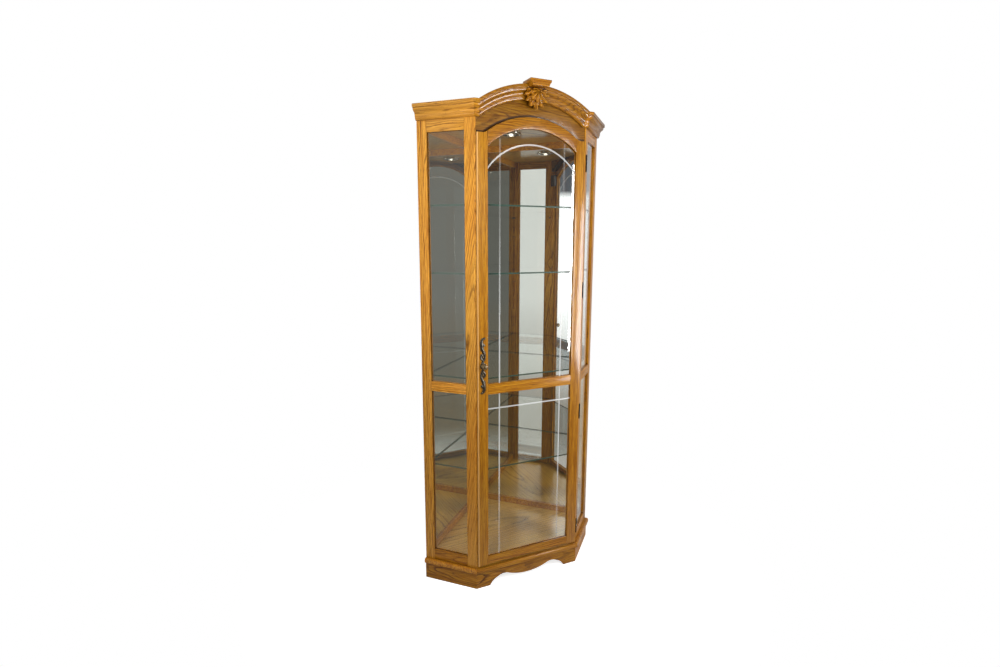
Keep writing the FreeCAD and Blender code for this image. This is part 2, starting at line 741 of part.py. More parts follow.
def door_rebates(name):
    rebate = dim("rebate")
    half = dim("door_opening_half") + rebate
    deep = f"{door_back() - pane_front() + 1}"
    place = upright(door_back() + 1)
    low = rectangle(-half, half, dim("door_bottom_high") - rebate, dim("door_mid_low") + rebate)
    high = arched(half, dim("door_mid_high") - rebate, dim("door_glass_arc") + rebate)
    return [padded(name + "_rebate_lower", low, deep, place),
            padded(name + "_rebate_upper", high, deep, place)]


def arched(half, low, radius):
    centre = dim("door_centre")
    spring = arc_height(centre, radius, half)
    return [(-half, low), (half, low), (half, spring), ((0, centre + radius), (-half, spring))]


def eased_shoulder():
    """From the level shoulder into the arched top: the curve's start, middle and end."""
    centre = dim("door_centre")
    radius = dim("door_arc")
    ease = dim("door_ease")
    level = dim("door_shoulder") + ease
    across = arc_across(centre, radius + ease, level)
    share = radius / (radius + ease)
    end = (across * share, centre + (level - centre) * share)
    toward = FreeCAD.Vector(end[0] - across, end[1] - level - ease, 0).normalize()
    return (across, level - ease), (across + toward.x * ease, level + toward.y * ease), end


def shoulder_arc(radius, start_x):
    """The part of an arched edge that lies on a stile, from its outer end to the stile's inner edge."""
    centre = dim("door_centre")
    inner = dim("door_opening_half")
    mid_x = (start_x + inner) / 2
    return ((mid_x, arc_height(centre, radius, mid_x)), (inner, arc_height(centre, radius, inner)))


def door_stile(side):
    name = f"door_stile_{hand(side)}"
    half = dim("door_half")
    inner = dim("door_opening_half")
    low = dim("door_low")
    shoulder = dim("door_shoulder")
    end = dim("door_lip_end")
    start, middle, finish = eased_shoulder()
    lip = [(inner, low), (half, low), (half, shoulder), start, (middle, finish),
           shoulder_arc(dim("door_arc"), finish[0])]
    tongue = half - dim("door_lip_side")
    turn_x = arc_across(dim("door_centre"), dim("door_arc") - end, shoulder - end)
    body = [(inner, low + end), (tongue, low + end), (tongue, shoulder - end), (turn_x, shoulder - end),
            shoulder_arc(dim("door_arc") - end, turn_x)]
    tools = door_rebates(name)
    if side == 1:
        tools += door_screw_holes()
    keep(door_layers(name, mirrored_x(lip, side), mirrored_x(body, side), tools), name)


def door_rails():
    half = dim("door_opening_half")
    low = dim("door_low")
    end = dim("door_lip_end")
    high = dim("door_bottom_high")
    lip = rectangle(-half, half, low, high)
    body = rectangle(-half, half, low + end, high)
    keep(door_layers("door_bottom", lip, body, door_rebates("door_bottom")), "door_bottom_rail")
    middle = rectangle(-half, half, dim("door_mid_low"), dim("door_mid_high"))
    keep(door_layers("door_middle", middle, middle, door_rebates("door_middle")), "door_mid_rail")
    centre = dim("door_centre")
    inner = dim("door_glass_arc")

    def arch(outer):
        outside = arc_height(centre, outer, half)
        inside = arc_height(centre, inner, half)
        return [(-half, inside), ((0, centre + inner), (half, inside)), (half, outside),
                ((0, centre + outer), (-half, outside))]

    keep(door_layers("door_top", arch(dim("door_arc")), arch(dim("door_arc") - end),
                     door_rebates("door_top")), "door_top_rail")


def groove_outline(middle=0):
    """The V of a groove, from just in front of the pane, pointing inwards along Y."""
    half = dim("groove_half")
    return [(middle - half, -0.2), (middle + half, -0.2), (middle + half, 0),
            (middle, dim("groove_deep")), (middle - half, 0)]


def groove(name, start, direction, length):
    """A V-shaped cut in the front of a pane, along a straight line."""
    along = FreeCAD.Vector(*direction)
    inward = FreeCAD.Vector(0, 1, 0)
    spin = FreeCAD.Rotation(inward.cross(along), inward, along, "XYZ")
    place = SHIFT * FreeCAD.Placement(FreeCAD.Vector(start[0], pane_front(), start[1]), spin)
    return padded(name, groove_outline(), f"{length}", place)


def groove_ring(name):
    spin = FreeCAD.Rotation(FreeCAD.Vector(0, 1, 0), -90)
    place = SHIFT * FreeCAD.Placement(FreeCAD.Vector(0, pane_front(), dim("groove_centre")), spin)
    return revolved(name, groove_outline(dim("groove_arc")), "V_Axis", 120, place, True)


def door_panes():
    grip = dim("rebate") - 0.8
    half = dim("door_opening_half") + grip
    across = dim("groove_side")
    low = dim("door_mid_high") - grip
    top = arc_height(dim("groove_centre"), dim("groove_arc"), across)
    upper = padded("door_upper_pane", arched(half, low, dim("door_glass_arc") + grip),
                   "Dimensions.glass_thick", upright(pane_back()))
    tools = [groove(f"groove_upper_{hand(side)}", (side * across, low - 1), (0, 0, 1), top - low + 60)
             for side in (1, -1)]
    keep(less("door_upper_cut", upper, tools + [groove_ring("groove_arch")]), "door_glass_upper")
    low = dim("door_bottom_high") - grip
    high = dim("door_mid_low") + grip
    lower = padded("door_lower_pane", rectangle(-half, half, low, high), "Dimensions.glass_thick",
                   upright(pane_back()))
    tools = [groove(f"groove_lower_{hand(side)}", (side * across, low - 1), (0, 0, 1), high - low + 2)
             for side in (1, -1)]
    tools.append(groove("groove_level", (-half - 1, dim("groove_level")), (1, 0, 0), 2 * half + 2))
    keep(less("door_lower_cut", lower, tools), "door_glass_lower")


def door_stops():
    rebate = dim("rebate")
    near = dim("door_opening_half")
    far = near + rebate
    place = upright(door_back() - 2)
    deep = f"{door_back() - 2 - pane_back()}"
    strips = []
    centre = dim("door_centre")
    radius = dim("door_glass_arc")
    spring = arc_height(centre, radius, near)

    def strip(name, x0, x1, z0, z1):
        strips.append(padded(name, rectangle(x0, x1, z0, z1), deep, place))

    for level, low, high in (("lower", dim("door_bottom_high") - rebate, dim("door_mid_low") + rebate),
                             ("upper", dim("door_mid_high") - rebate, spring)):
        strip(f"door_stop_{level}_left", -far, -near, low, high)
        strip(f"door_stop_{level}_right", near, far, low, high)
        strip(f"door_stop_{level}_bottom", -near, near, low, low + rebate)
    strip("door_stop_lower_top", -near, near, dim("door_mid_low"), dim("door_mid_low") + rebate)
    outer_end = arc_height(centre, radius + rebate, far)
    arch = [(-near, spring), ((0, centre + radius), (near, spring)), (far, spring), (far, outer_end),
            ((0, centre + radius + rebate), (-far, outer_end)), (-far, spring)]
    strips.append(padded("door_stop_arch", arch, deep, place))
    keep(gathered("door_stops_all", strips), "door_glass_stops")


# ---- handle ----

# Parts of the upper half of the backplate, across and up from the knob; the lower half is turned over.
PLATE_NECK = [(-5, 8), (5, 8), (9.5, 42), (3, 56), (-1.5, 72), (-4, 92), (-11, 94), (-11, 82),
              (-5.5, 58), (-2, 44)]
PLATE_SPUR = [(-7, 82), (6, 73), (9, 77), (-3, 91)]
PLATE_CURL = [(-11, 94), ((-8.6, 105.5), (1, 111.5)), ((8, 111), (12.6, 106)), ((10.4, 101.8), (6, 102.6)),
              ((-1, 101.6), (-4, 92))]
ROSETTE_RADIUS = 12.5
RING_RADIUS = 10.5
RING_ACROSS = 0.4

# The knob's section: out from its axis, and back towards the door; pairs are arcs.
KNOB_SECTION = [(0, 0), (0, -25), ((7.8, -22.6), (11, -15.5)), ((9.6, -10.6), (4.5, -8)), (4, -3), (8, 0)]


def plate_half(turn):
    """Neck, ring, spur and curl above the knob (turn 1) or below it (turn -1)."""
    name = "upper" if turn == 1 else "lower"
    across = -dim("handle_across")
    level = dim("handle_level")
    front = door_front()
    pieces = [rod(f"handle_ring_{name}", RING_RADIUS, dim("plate_thick"),
                  (across + RING_ACROSS * turn, front, level + turn * dim("handle_ring")), (0, -1, 0))]
    for part, outline in (("neck", PLATE_NECK), ("spur", PLATE_SPUR), ("curl", PLATE_CURL)):
        placed = moved(outline, lambda point: (across + turn * point[0], level + turn * point[1]))
        pieces.append(padded(f"handle_{part}_{name}", placed, "Dimensions.plate_thick", upright(front)))
    return pieces


def handle():
    front = door_front()
    across = -dim("handle_across")
    level = dim("handle_level")
    thick = dim("plate_thick")
    facing = (0, -1, 0)
    plate = [rod("handle_rosette", ROSETTE_RADIUS, thick + 1, (across, front, level), facing)]
    holes = []
    screws = []
    for turn in (1, -1):
        plate += plate_half(turn)
        spot = (across + RING_ACROSS * turn, level + turn * dim("handle_ring"))
        holes.append(rod(f"handle_hole_{turn}", 1.6, 20, (spot[0], front + 8, spot[1]), facing))
        head = rod(f"handle_screw_head_{turn}", 2.6, 1.4, (spot[0], front - thick, spot[1]), facing)
        shank = rod(f"handle_screw_shank_{turn}", 1.5, thick, (spot[0], front, spot[1]), facing)
        screws.append(joined(f"handle_screw_{turn}", [head, shank]))
    keep(less("handle_plate", joined("handle_plate_blank", plate), holes), "handle_backplate")
    place = SHIFT * FreeCAD.Placement(FreeCAD.Vector(across, front - thick - 1, level), FreeCAD.Rotation())
    keep(revolved("handle_knob_turned", KNOB_SECTION, "V_Axis", 360, place), "handle_knob")
    keep(gathered("handle_screws_both", screws), "handle_screws")


# ---- hinges ----

SCREW_OFFSETS = (-22, 0, 22)
FRAME_SCREW_X = 221
DOOR_SCREW_X = 215
HEAD_RADIUS = 2.4
SHANK_RADIUS = 1.4
PILOT_RADIUS = 1.5
FRAME_LEAF = (212, 232.5)
DOOR_LEAF_EDGE = 231.5
KNUCKLE_GAP = 0.3


def pilot_holes(name, x, face, into, deep):
    spots = [(x, face, level + offset) for level in HINGE_LEVELS for offset in SCREW_OFFSETS]
    return [rod(f"{name}_pilot_{index}", PILOT_RADIUS, deep, spot, (0, into, 0))
            for index, spot in enumerate(spots)]


def frame_screw_holes():
    return pilot_holes("frame", FRAME_SCREW_X, -1, 1, 12)


def door_screw_holes():
    return pilot_holes("door", DOOR_SCREW_X, lip_back() + 0.5, -1, 7)


def knuckles(name, level, numbers):
    """Some of the five knuckles of a hinge barrel."""
    pitch = dim("hinge_high") / 5
    low = level - dim("hinge_high") / 2
    items = []
    for number in numbers:
        start = low + number * pitch + KNUCKLE_GAP / 2
        items.append(rod(f"{name}_{number}", dim("hinge_radius"), pitch - KNUCKLE_GAP,
                         (dim("hinge_across"), -dim("hinge_forward"), start), (0, 0, 1)))
    return items


def hinge_leaf(name, level, numbers, near, edge, back, screw_x):
    """A leaf, its knuckles, the screw holes and the bore for the pin."""
    pitch = dim("hinge_high") / 5
    low = level - dim("hinge_high") / 2
    front = back - dim("leaf_thick")
    axis_x = dim("hinge_across")
    plate = box(name + "_plate", (near, front, low), (edge, back, low + dim("hinge_high")))
    items = [plate] + knuckles(name + "_knuckle", level, numbers)
    for number in numbers:
        start = low + number * pitch + KNUCKLE_GAP / 2
        end = start + pitch - KNUCKLE_GAP
        reach = -dim("hinge_forward") + 0.5 if back > -dim("leaf_thick") else front
        items.append(box(f"{name}_web_{number}", (edge - 1, front, start), (axis_x, back, end)))
        if reach < front:
            items.append(box(f"{name}_root_{number}", (axis_x - 1.5, reach, start), (axis_x + 1, back, end)))
    tools = [rod(f"{name}_bore", dim("pin_hinge_radius") + 0.05, dim("hinge_high") + 2,
                 (axis_x, -dim("hinge_forward"), low - 1), (0, 0, 1))]
    for offset in SCREW_OFFSETS:
        tools.append(rod(f"{name}_hole_{offset}", HEAD_RADIUS + 0.1, dim("leaf_thick") + 1,
                         (screw_x, front - 0.5, level + offset), (0, 1, 0)))
    return less(name + "_cut", joined(name + "_blank", items), tools)


def screw(name, x, face, level, into, length):
    """A countersunk screw whose head fills the leaf; face is the leaf's open side."""
    thick = dim("leaf_thick")
    head = rod(name + "_head", HEAD_RADIUS, thick, (x, face, level), (0, into, 0))
    shank = rod(name + "_shank", SHANK_RADIUS, length, (x, face + into * thick * 0.9, level), (0, into, 0))
    return joined(name, [head, shank])


def hinge_pin(name, level):
    across = dim("hinge_across")
    forward = -dim("hinge_forward")
    half = dim("hinge_high") / 2
    low = level - half + KNUCKLE_GAP / 2
    upwards = (0, 0, 1)
    shaft = rod(f"{name}_shaft", dim("pin_hinge_radius"), dim("hinge_high"), (across, forward, low), upwards)
    head = rod(f"{name}_head", 2.6, 1.6, (across, forward, level + half), upwards)
    return joined(name, [shaft, head])


def hinges():
    frame_back = -0.1
    frame_face = frame_back - dim("leaf_thick")
    behind_lip = frame_face - 0.1
    frame_leaves = []
    door_leaves = []
    pins = []
    frame_screws = []
    door_screws = []
    low_edge = dim("door_half") - dim("door_lip_side") + 2
    for index, level in enumerate(HINGE_LEVELS):
        frame_leaves.append(hinge_leaf(f"frame_leaf_{index}", level, (0, 2, 4), *FRAME_LEAF, frame_back,
                                       FRAME_SCREW_X))
        door_leaves.append(hinge_leaf(f"door_leaf_{index}", level, (1, 3), low_edge, DOOR_LEAF_EDGE,
                                      behind_lip, DOOR_SCREW_X))
        pins.append(hinge_pin(f"hinge_pin_{index}", level))
        for offset in SCREW_OFFSETS:
            spot = f"{index}_{offset}"
            at = level + offset
            frame_screws.append(screw(f"frame_screw_{spot}", FRAME_SCREW_X, frame_face, at, 1, 9.5))
            door_screws.append(screw(f"door_screw_{spot}", DOOR_SCREW_X, behind_lip, at, -1, 6))
    keep(gathered("frame_leaves_all", frame_leaves), "hinge_frame_leaves")
    keep(gathered("door_leaves_all", door_leaves), "hinge_door_leaves")
    keep(gathered("hinge_pins_all", pins), "hinge_pins")
    keep(gathered("frame_screws_all", frame_screws), "hinge_frame_screws")
    keep(gathered("door_screws_all", door_screws), "hinge_door_screws")


# ---- build and write ----

def build():
    plinth()
    for side in (1, -1):
        side_frame(side)
    side_panes()
    floor_and_ceiling()
    shelves(backs())
    frieze()
    crown()
    keystone()
    light()
    catch()
    for side in (1, -1):
        door_stile(side)
    door_rails()
    door_panes()
    door_stops()
    handle()
    hinges()
    doc.recompute()


def check():
    bad = [item.Name for item in doc.Objects if "Invalid" in item.State or "Error" in item.State]
    if bad:
        raise RuntimeError(f"objects that failed: {bad}")
    for item in nodes:
        if item.Shape.isNull() or not item.Shape.isValid() or not item.Shape.Solids:
            raise RuntimeError(f"bad shape: {item.Label}")


def write():
    os.makedirs("parts", exist_ok=True)
    for item in nodes:
        item.Shape.exportStep(f"parts/{item.Label}.step")


build()
check()
write()
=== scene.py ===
import itertools
import json
import math

import bmesh
import bpy
from mathutils import Matrix, Vector

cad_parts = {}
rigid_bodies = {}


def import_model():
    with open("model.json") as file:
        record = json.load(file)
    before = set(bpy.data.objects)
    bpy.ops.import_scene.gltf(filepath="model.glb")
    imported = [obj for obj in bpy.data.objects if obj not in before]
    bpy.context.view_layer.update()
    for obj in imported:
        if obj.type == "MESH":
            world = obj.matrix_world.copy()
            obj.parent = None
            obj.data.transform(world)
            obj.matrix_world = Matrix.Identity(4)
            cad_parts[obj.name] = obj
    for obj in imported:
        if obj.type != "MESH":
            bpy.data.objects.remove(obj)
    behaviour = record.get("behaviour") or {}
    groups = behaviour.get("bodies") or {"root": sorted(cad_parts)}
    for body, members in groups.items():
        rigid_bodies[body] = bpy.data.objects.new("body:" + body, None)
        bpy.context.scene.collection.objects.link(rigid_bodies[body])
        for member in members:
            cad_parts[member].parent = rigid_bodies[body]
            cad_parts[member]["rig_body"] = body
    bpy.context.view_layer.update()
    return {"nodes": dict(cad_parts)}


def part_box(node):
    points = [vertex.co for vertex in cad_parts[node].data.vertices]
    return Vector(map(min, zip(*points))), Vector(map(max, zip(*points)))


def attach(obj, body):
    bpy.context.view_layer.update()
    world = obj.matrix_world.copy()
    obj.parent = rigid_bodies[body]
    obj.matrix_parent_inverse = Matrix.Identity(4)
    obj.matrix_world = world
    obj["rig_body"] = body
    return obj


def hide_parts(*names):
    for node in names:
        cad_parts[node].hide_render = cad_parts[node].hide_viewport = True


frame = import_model()
nodes = frame["nodes"]

MM = 0.001
ROOT_HALF = math.sqrt(0.5)

# The front plane of the frames is where the left front stile's foremost face stands.
FRONT_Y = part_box("left_front_stile")[0].y
DOOR_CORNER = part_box("door_stile_left")[0]
DOOR_FRONT_Y = DOOR_CORNER.y
DOOR_HALF = -DOOR_CORNER.x
DOOR_LOW = DOOR_CORNER.z

# The door's top is an arc over level shoulders, and the groove in its pane is a smaller arc inside it.
DOOR_SHOULDER = 1.787
DOOR_ARC = 0.319
DOOR_ARC_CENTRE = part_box("door_top_rail")[1].z - DOOR_ARC
GROOVE_ARC = 0.232
GROOVE_CENTRE = DOOR_ARC_CENTRE - 0.010

# Points closer than this, in metres, count as the same place.
NEAR = 0.0005


# ---------------------------------------------------------------- shader helpers

class Graph:
    """A small wrapper that makes and links shader nodes."""

    def __init__(self, tree):
        self.tree = tree
        tree.nodes.clear()

    def node(self, kind, **settings):
        made = self.tree.nodes.new(kind)
        for name, value in settings.items():
            setattr(made, name, value)
        return made

    def link(self, source, target):
        self.tree.links.new(source, target)

    def put(self, target, value):
        if isinstance(value, bpy.types.NodeSocket):
            self.link(value, target)
        else:
            target.default_value = value

    def math(self, operation, first, second=0.0, clamp=False):
        made = self.node("ShaderNodeMath", operation=operation, use_clamp=clamp)
        self.put(made.inputs[0], first)
        self.put(made.inputs[1], second)
        return made.outputs[0]

    def mix(self, factor, first, second, blend="MIX"):
        made = self.node("ShaderNodeMix", data_type="RGBA", blend_type=blend)
        self.put(made.inputs[0], factor)
        self.put(made.inputs[6], first)
        self.put(made.inputs[7], second)
        return made.outputs[2]

    def blend_values(self, factor, first, second):
        made = self.node("ShaderNodeMix", data_type="FLOAT")
        self.put(made.inputs[0], factor)
        self.put(made.inputs[2], first)
        self.put(made.inputs[3], second)
        return made.outputs[0]

    def ramp(self, value, stops):
        made = self.node("ShaderNodeValToRGB")
        points = made.color_ramp.elements
        while len(points) < len(stops):
            points.new(0.5)
        for point, (place, colour) in zip(points, stops):
            point.position = place
            point.color = (*colour, 1)
        self.put(made.inputs[0], value)
        return made.outputs[0]

    def range(self, value, low, high, to_low=0.0, to_high=1.0, smooth=False):
        made = self.node("ShaderNodeMapRange")
        made.interpolation_type = "SMOOTHSTEP" if smooth else "LINEAR"
        self.put(made.inputs[0], value)
        for socket, number in zip(made.inputs[1:5], (low, high, to_low, to_high)):
            self.put(socket, number)
        return made.outputs[0]

    def noise(self, vector, scale, detail=2.0, rough=0.5):
        made = self.node("ShaderNodeTexNoise")
        self.put(made.inputs["Vector"], vector)
        made.inputs["Scale"].default_value = scale
        made.inputs["Detail"].default_value = detail
        made.inputs["Roughness"].default_value = rough
        return made.outputs[0]

    def stretch(self, vector, scale, shift=(0, 0, 0)):
        made = self.node("ShaderNodeMapping")
        self.put(made.inputs[0], vector)
        made.inputs["Location"].default_value = shift
        made.inputs["Scale"].default_value = scale
        return made.outputs[0]

    def bump(self, height, distance, strength):
        made = self.node("ShaderNodeBump")
        made.inputs["Strength"].default_value = strength
        made.inputs["Distance"].default_value = distance
        self.link(height, made.inputs["Height"])
        return made.outputs[0]

    def place(self):
        """Position in the piece's own space, which is the cabinet's frame."""
        return self.node("ShaderNodeTexCoord").outputs["Object"]

    def split(self, vector):
        """The three parts of a vector."""
        made = self.node("ShaderNodeSeparateXYZ")
        self.link(vector, made.inputs[0])
        return made.outputs

    def dot(self, vector, way):
        made = self.node("ShaderNodeVectorMath", operation="DOT_PRODUCT")
        self.link(vector, made.inputs[0])
        made.inputs[1].default_value = way
        return made.outputs["Value"]

    def length(self, first, second):
        """Length of the long side of a right-angled triangle."""
        squares = [self.math("MULTIPLY", part, part) for part in (first, second)]
        return self.math("SQRT", self.math("ADD", *squares))

    def tinted(self, colour, tint):
        return self.mix(1.0, colour, tint, "MULTIPLY")

    def mix_shaders(self, factor, first, second):
        made = self.node("ShaderNodeMixShader")
        for socket, source in zip(made.inputs, (factor, first, second)):
            self.link(source, socket)
        return made.outputs[0]

    def surface(self, shader):
        out = self.node("ShaderNodeOutputMaterial")
        self.link(shader, out.inputs["Surface"])


def new_material(name):
    material = bpy.data.materials.new(name)
    material.use_nodes = True
    return material, Graph(material.node_tree)


def principled(graph, **values):
    shader = graph.node("ShaderNodeBsdfPrincipled")
    for name, value in values.items():
        graph.put(shader.inputs[name.replace("_", " ")], value)
    return shader


# ---------------------------------------------------------------- oak

X, Y, Z = Vector((1, 0, 0)), Vector((0, 1, 0)), Vector((0, 0, 1))
LEFT_RUN = Vector((-ROOT_HALF, ROOT_HALF, 0))
RIGHT_RUN = Vector((ROOT_HALF, ROOT_HALF, 0))
LEFT_IN = RIGHT_RUN
RIGHT_IN = LEFT_RUN

# Ways a board can lie: along its grain, across its face, and into the board.
FRONT_UP, FRONT_LEVEL = (Z, X, Y), (X, Z, Y)
LEFT_UP, LEFT_LEVEL = (Z, LEFT_RUN, LEFT_IN), (LEFT_RUN, Z, LEFT_IN)
RIGHT_UP, RIGHT_LEVEL = (Z, RIGHT_RUN, RIGHT_IN), (RIGHT_RUN, Z, RIGHT_IN)
FLAT = (X, Y, Z)

# The left front stile was sawn a little across the grain.
SLANT = 0.15
LEFT_SLANTED = ((Z - SLANT * LEFT_RUN).normalized(), (LEFT_RUN + SLANT * Z).normalized(), LEFT_IN)


def middle(node):
    low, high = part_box(node)
    return (low + high) / 2


def board_coordinates(g, along, across, inward, centre):
    """Position measured from the board's middle: along the grain, across the face, into the board."""
    place = g.place()
    parts = g.node("ShaderNodeCombineXYZ")
    for socket, way in zip(parts.inputs, (along, across, inward)):
        g.link(g.math("SUBTRACT", g.dot(place, way), centre.dot(way)), socket)
    return parts.outputs[0]


def wander(g, moved, scale, size):
    """A smooth wandering offset, up to half of size either way."""
    drift = g.noise(g.stretch(moved, scale), 1.0)
    return g.math("MULTIPLY", g.math("SUBTRACT", drift, 0.5), size)


def growth_rings(g, p, seed, pith, deep, taper, spacing):
    """Distance from the log's heart, in rings: pith is its sideways offset and deep its depth."""
    moved = g.stretch(p, (1, 1, 1), (seed * 1.37, seed * 0.61, seed * 0.29))
    lengthwise, sideways, depth = g.split(p)
    bow = wander(g, moved, (2.6, 9, 9), 0.030)
    wave = wander(g, moved, (14, 55, 55), 0.0045)
    across = g.math("ADD", sideways, pith)
    inward = g.math("ADD", depth, deep)
    reach = g.math("ADD", g.length(across, inward), g.math("MULTIPLY", lengthwise, taper))
    return g.math("DIVIDE", g.math("ADD", g.math("ADD", reach, bow), wave), spacing), moved


def painted_shadow_line(g):
    """1 on the frieze beside the door's outline: a painted shadow of the door's edge on the frieze."""
    sideways, _, height = g.split(g.place())
    reach = g.length(sideways, g.math("SUBTRACT", height, DOOR_ARC_CENTRE))
    off_arc = g.math("MAXIMUM", 0.0, g.math("SUBTRACT", reach, DOOR_ARC))
    off_shoulder = g.math("SUBTRACT", height, DOOR_SHOULDER)
    on_shoulder = g.range(g.math("ABSOLUTE", sideways), 0.196, 0.206)
    return g.range(g.blend_values(on_shoulder, off_arc, off_shoulder), 0.0065, 0.0105, 1.0, 0.0, True)


def painted_edge_highlight(g):
    """1 on the rounded left edge of the door, where a pale painted highlight stands for the light the edge
    catches.
    """
    return g.range(g.split(g.place())[0], 0.003 - DOOR_HALF, 0.005 - DOOR_HALF, 1.0, 0.0, True)


# Painted shadow and painted highlight drawn over the wood of a board: where, how strongly, and in what
# colour.
MARKS = {"oak_frieze_board": (painted_shadow_line, 0.85, (0.018, 0.007, 0.002, 1)),
         "oak_door_stile_left": (painted_edge_highlight, 0.55, (0.80, 0.46, 0.17, 1))}
# Streaks in the wood: how fine along the grain and across it, and how strong.
STREAKS = ((4.5, 125, 0.52), (11, 270, 0.70), (30, 520, 0.45))
GOLDEN = ((0.60, 0.285, 0.020), (0.115, 0.036, 0.0014))


def early_wood(g, rings):
    """1 in the dark early part of each ring, with some rings and groups of rings stronger than others."""
    phase = g.math("FRACT", rings)
    each = g.node("ShaderNodeTexWhiteNoise", noise_dimensions="1D")
    g.link(g.math("FLOOR", rings), each.inputs["W"])
    groups = g.node("ShaderNodeTexNoise", noise_dimensions="1D")
    g.link(g.math("MULTIPLY", rings, 0.31), groups.inputs["W"])
    groups.inputs["Detail"].default_value = 1.0
    strong = g.math("MULTIPLY", g.range(each.outputs["Value"], 0, 1, 0.6, 1.0),
                    g.range(groups.outputs[0], 0.35, 0.65, 0.25, 1.15))
    fading = g.range(phase, 0.0, 0.55, 1.0, 0.0, True)
    starting = g.range(phase, 0.9, 1.0, 0.0, 1.0, True)
    return g.math("MULTIPLY", g.math("MAXIMUM", fading, starting), strong)


def open_pores(g, moved, early):
    """1 in the short open pores, which crowd together in the early wood."""
    spots = g.noise(g.stretch(moved, (62, 820, 820)), 1.0, 2, 0.6)
    return g.range(g.math("SUBTRACT", spots, g.range(early, 0.0, 1.0, 0.66, 0.535)), 0.0, 0.05, smooth=True)


def wood_colour(g, moved, early, pore, fibres, seed, tones, shade, figure):
    """Colour of the board: rings, streaks, broad bands, fibres and pores."""
    pale, dark = (tuple(part * shade for part in tone) + (1,) for tone in tones)
    broad = g.noise(g.stretch(moved, (1.3, 7, 7)), 1.0)
    body = g.mix(g.math("MULTIPLY", early, 0.74), pale, dark)
    for lengthwise, sideways, strength in STREAKS:
        streak = g.noise(g.stretch(moved, (lengthwise, sideways, sideways), (0, seed, seed)), 1.0, 1)
        browner = g.tinted(body, (0.60, 0.46, 0.22, 1))
        body = g.mix(g.range(streak, 0.46, 0.66, 0, strength * figure, True), body, browner)
    redder = g.tinted(body, (1.04, 0.88, 0.62, 1))
    body = g.mix(g.range(broad, 0.3, 0.72, 0, 0.8), body, redder)
    duller = g.tinted(body, (0.68, 0.58, 0.42, 1))
    body = g.mix(g.range(fibres, 0.3, 0.75, 0.0, 0.55), body, duller)
    return g.mix(g.math("MULTIPLY", pore, 0.85), body, (0.045, 0.015, 0.003, 1))


def painted_nook_shade(g, colour, reach):
    """The colour, darker in corners and quirks: painted shade where less light reaches."""
    nook = g.node("ShaderNodeAmbientOcclusion", samples=6)
    nook.inputs["Distance"].default_value = reach
    in_shade = g.tinted(colour, (0.22, 0.15, 0.10, 1))
    return g.mix(g.range(nook.outputs["AO"], 0.22, 0.66, 1.0, 0.0, True), colour, in_shade)


def oak(name, directions, centre, seed, heart, spacing=0.0046, tones=GOLDEN, gloss=0.34, shade=1.0,
        figure=1.0, coat=0.5, nook_reach=0.007):
    """Golden oak: growth rings with open pores in the early wood, fine fibres and semi-gloss lacquer."""
    material, g = new_material(name)
    p = board_coordinates(g, *directions, centre)
    rings, moved = growth_rings(g, p, seed, *heart, spacing)
    early = early_wood(g, rings)
    pore = open_pores(g, moved, early)
    fibres = g.noise(g.stretch(moved, (26, 620, 620)), 1.0, 3, 0.6)
    colour = wood_colour(g, moved, early, pore, fibres, seed, tones, shade, figure)
    # The board's painted mark: a painted shadow on the frieze, a painted highlight on the door's left stile.
    if name in MARKS:
        mark, strength, tint = MARKS[name]
        colour = g.mix(g.math("MULTIPLY", mark(g), strength), colour, tint)
    # Painted shade in corners, quirks and gaps.
    colour = painted_nook_shade(g, colour, nook_reach)
    rough = g.range(pore, 0.0, 1.0, gloss, gloss + 0.25)
    shader = principled(g, Base_Color=colour, Roughness=rough, Coat_Weight=coat, Coat_Roughness=0.13)
    shader.inputs["Specular IOR Level"].default_value = 0.2
    height = g.math("SUBTRACT", g.math("MULTIPLY", fibres, 0.18), pore)
    g.link(g.bump(height, 0.00016, 0.7), shader.inputs["Normal"])
    waves = g.noise(g.stretch(moved, (22, 60, 60)), 1.0)
    g.link(g.bump(waves, 0.0009, 0.25), shader.inputs["Coat Normal"])
    g.surface(shader.outputs[0])
    return material


# ---------------------------------------------------------------- glass, mirror, metals

def plain_glass(g, tint):
    """Glass that lets light through and reflects a little where each ray enters."""
    see = g.node("ShaderNodeBsdfTransparent")
    see.inputs[0].default_value = (*tint, 1)
    shine = g.node("ShaderNodeBsdfGlossy")
    shine.inputs["Color"].default_value = (1, 1, 1, 1)
    shine.inputs["Roughness"].default_value = 0.0
    fresnel = g.node("ShaderNodeFresnel")
    fresnel.inputs["IOR"].default_value = 1.5
    entering = g.math("SUBTRACT", 1.0, g.node("ShaderNodeNewGeometry").outputs["Backfacing"])
    both_faces = g.math("MULTIPLY", fresnel.outputs[0], 1.8, clamp=True)
    return g.mix_shaders(g.math("MULTIPLY", both_faces, entering), see.outputs[0], shine.outputs[0])


def painted_groove_light(g):
    """How strongly the cut grooves show, as painted light: dim near the top and the foot, bright along the
    arch.
    """
    sideways, _, height = g.split(g.place())
    rise = g.math("SUBTRACT", height, GROOVE_CENTRE)
    off_arc = g.math("ABSOLUTE", g.math("SUBTRACT", g.length(sideways, rise), GROOVE_ARC))
    arch = g.math("MULTIPLY", g.range(off_arc, 0.004, 0.005, 1.0, 0.0), g.range(rise, 0.10, 0.12))
    near_top = g.range(height, 1.0, 1.50, 1.0, 0.22)
    near_foot = g.range(height, 0.30, 0.50, 0.45, 1.0)
    straight = g.math("MULTIPLY", near_top, near_foot)
    return g.math("MAXIMUM", straight, arch)


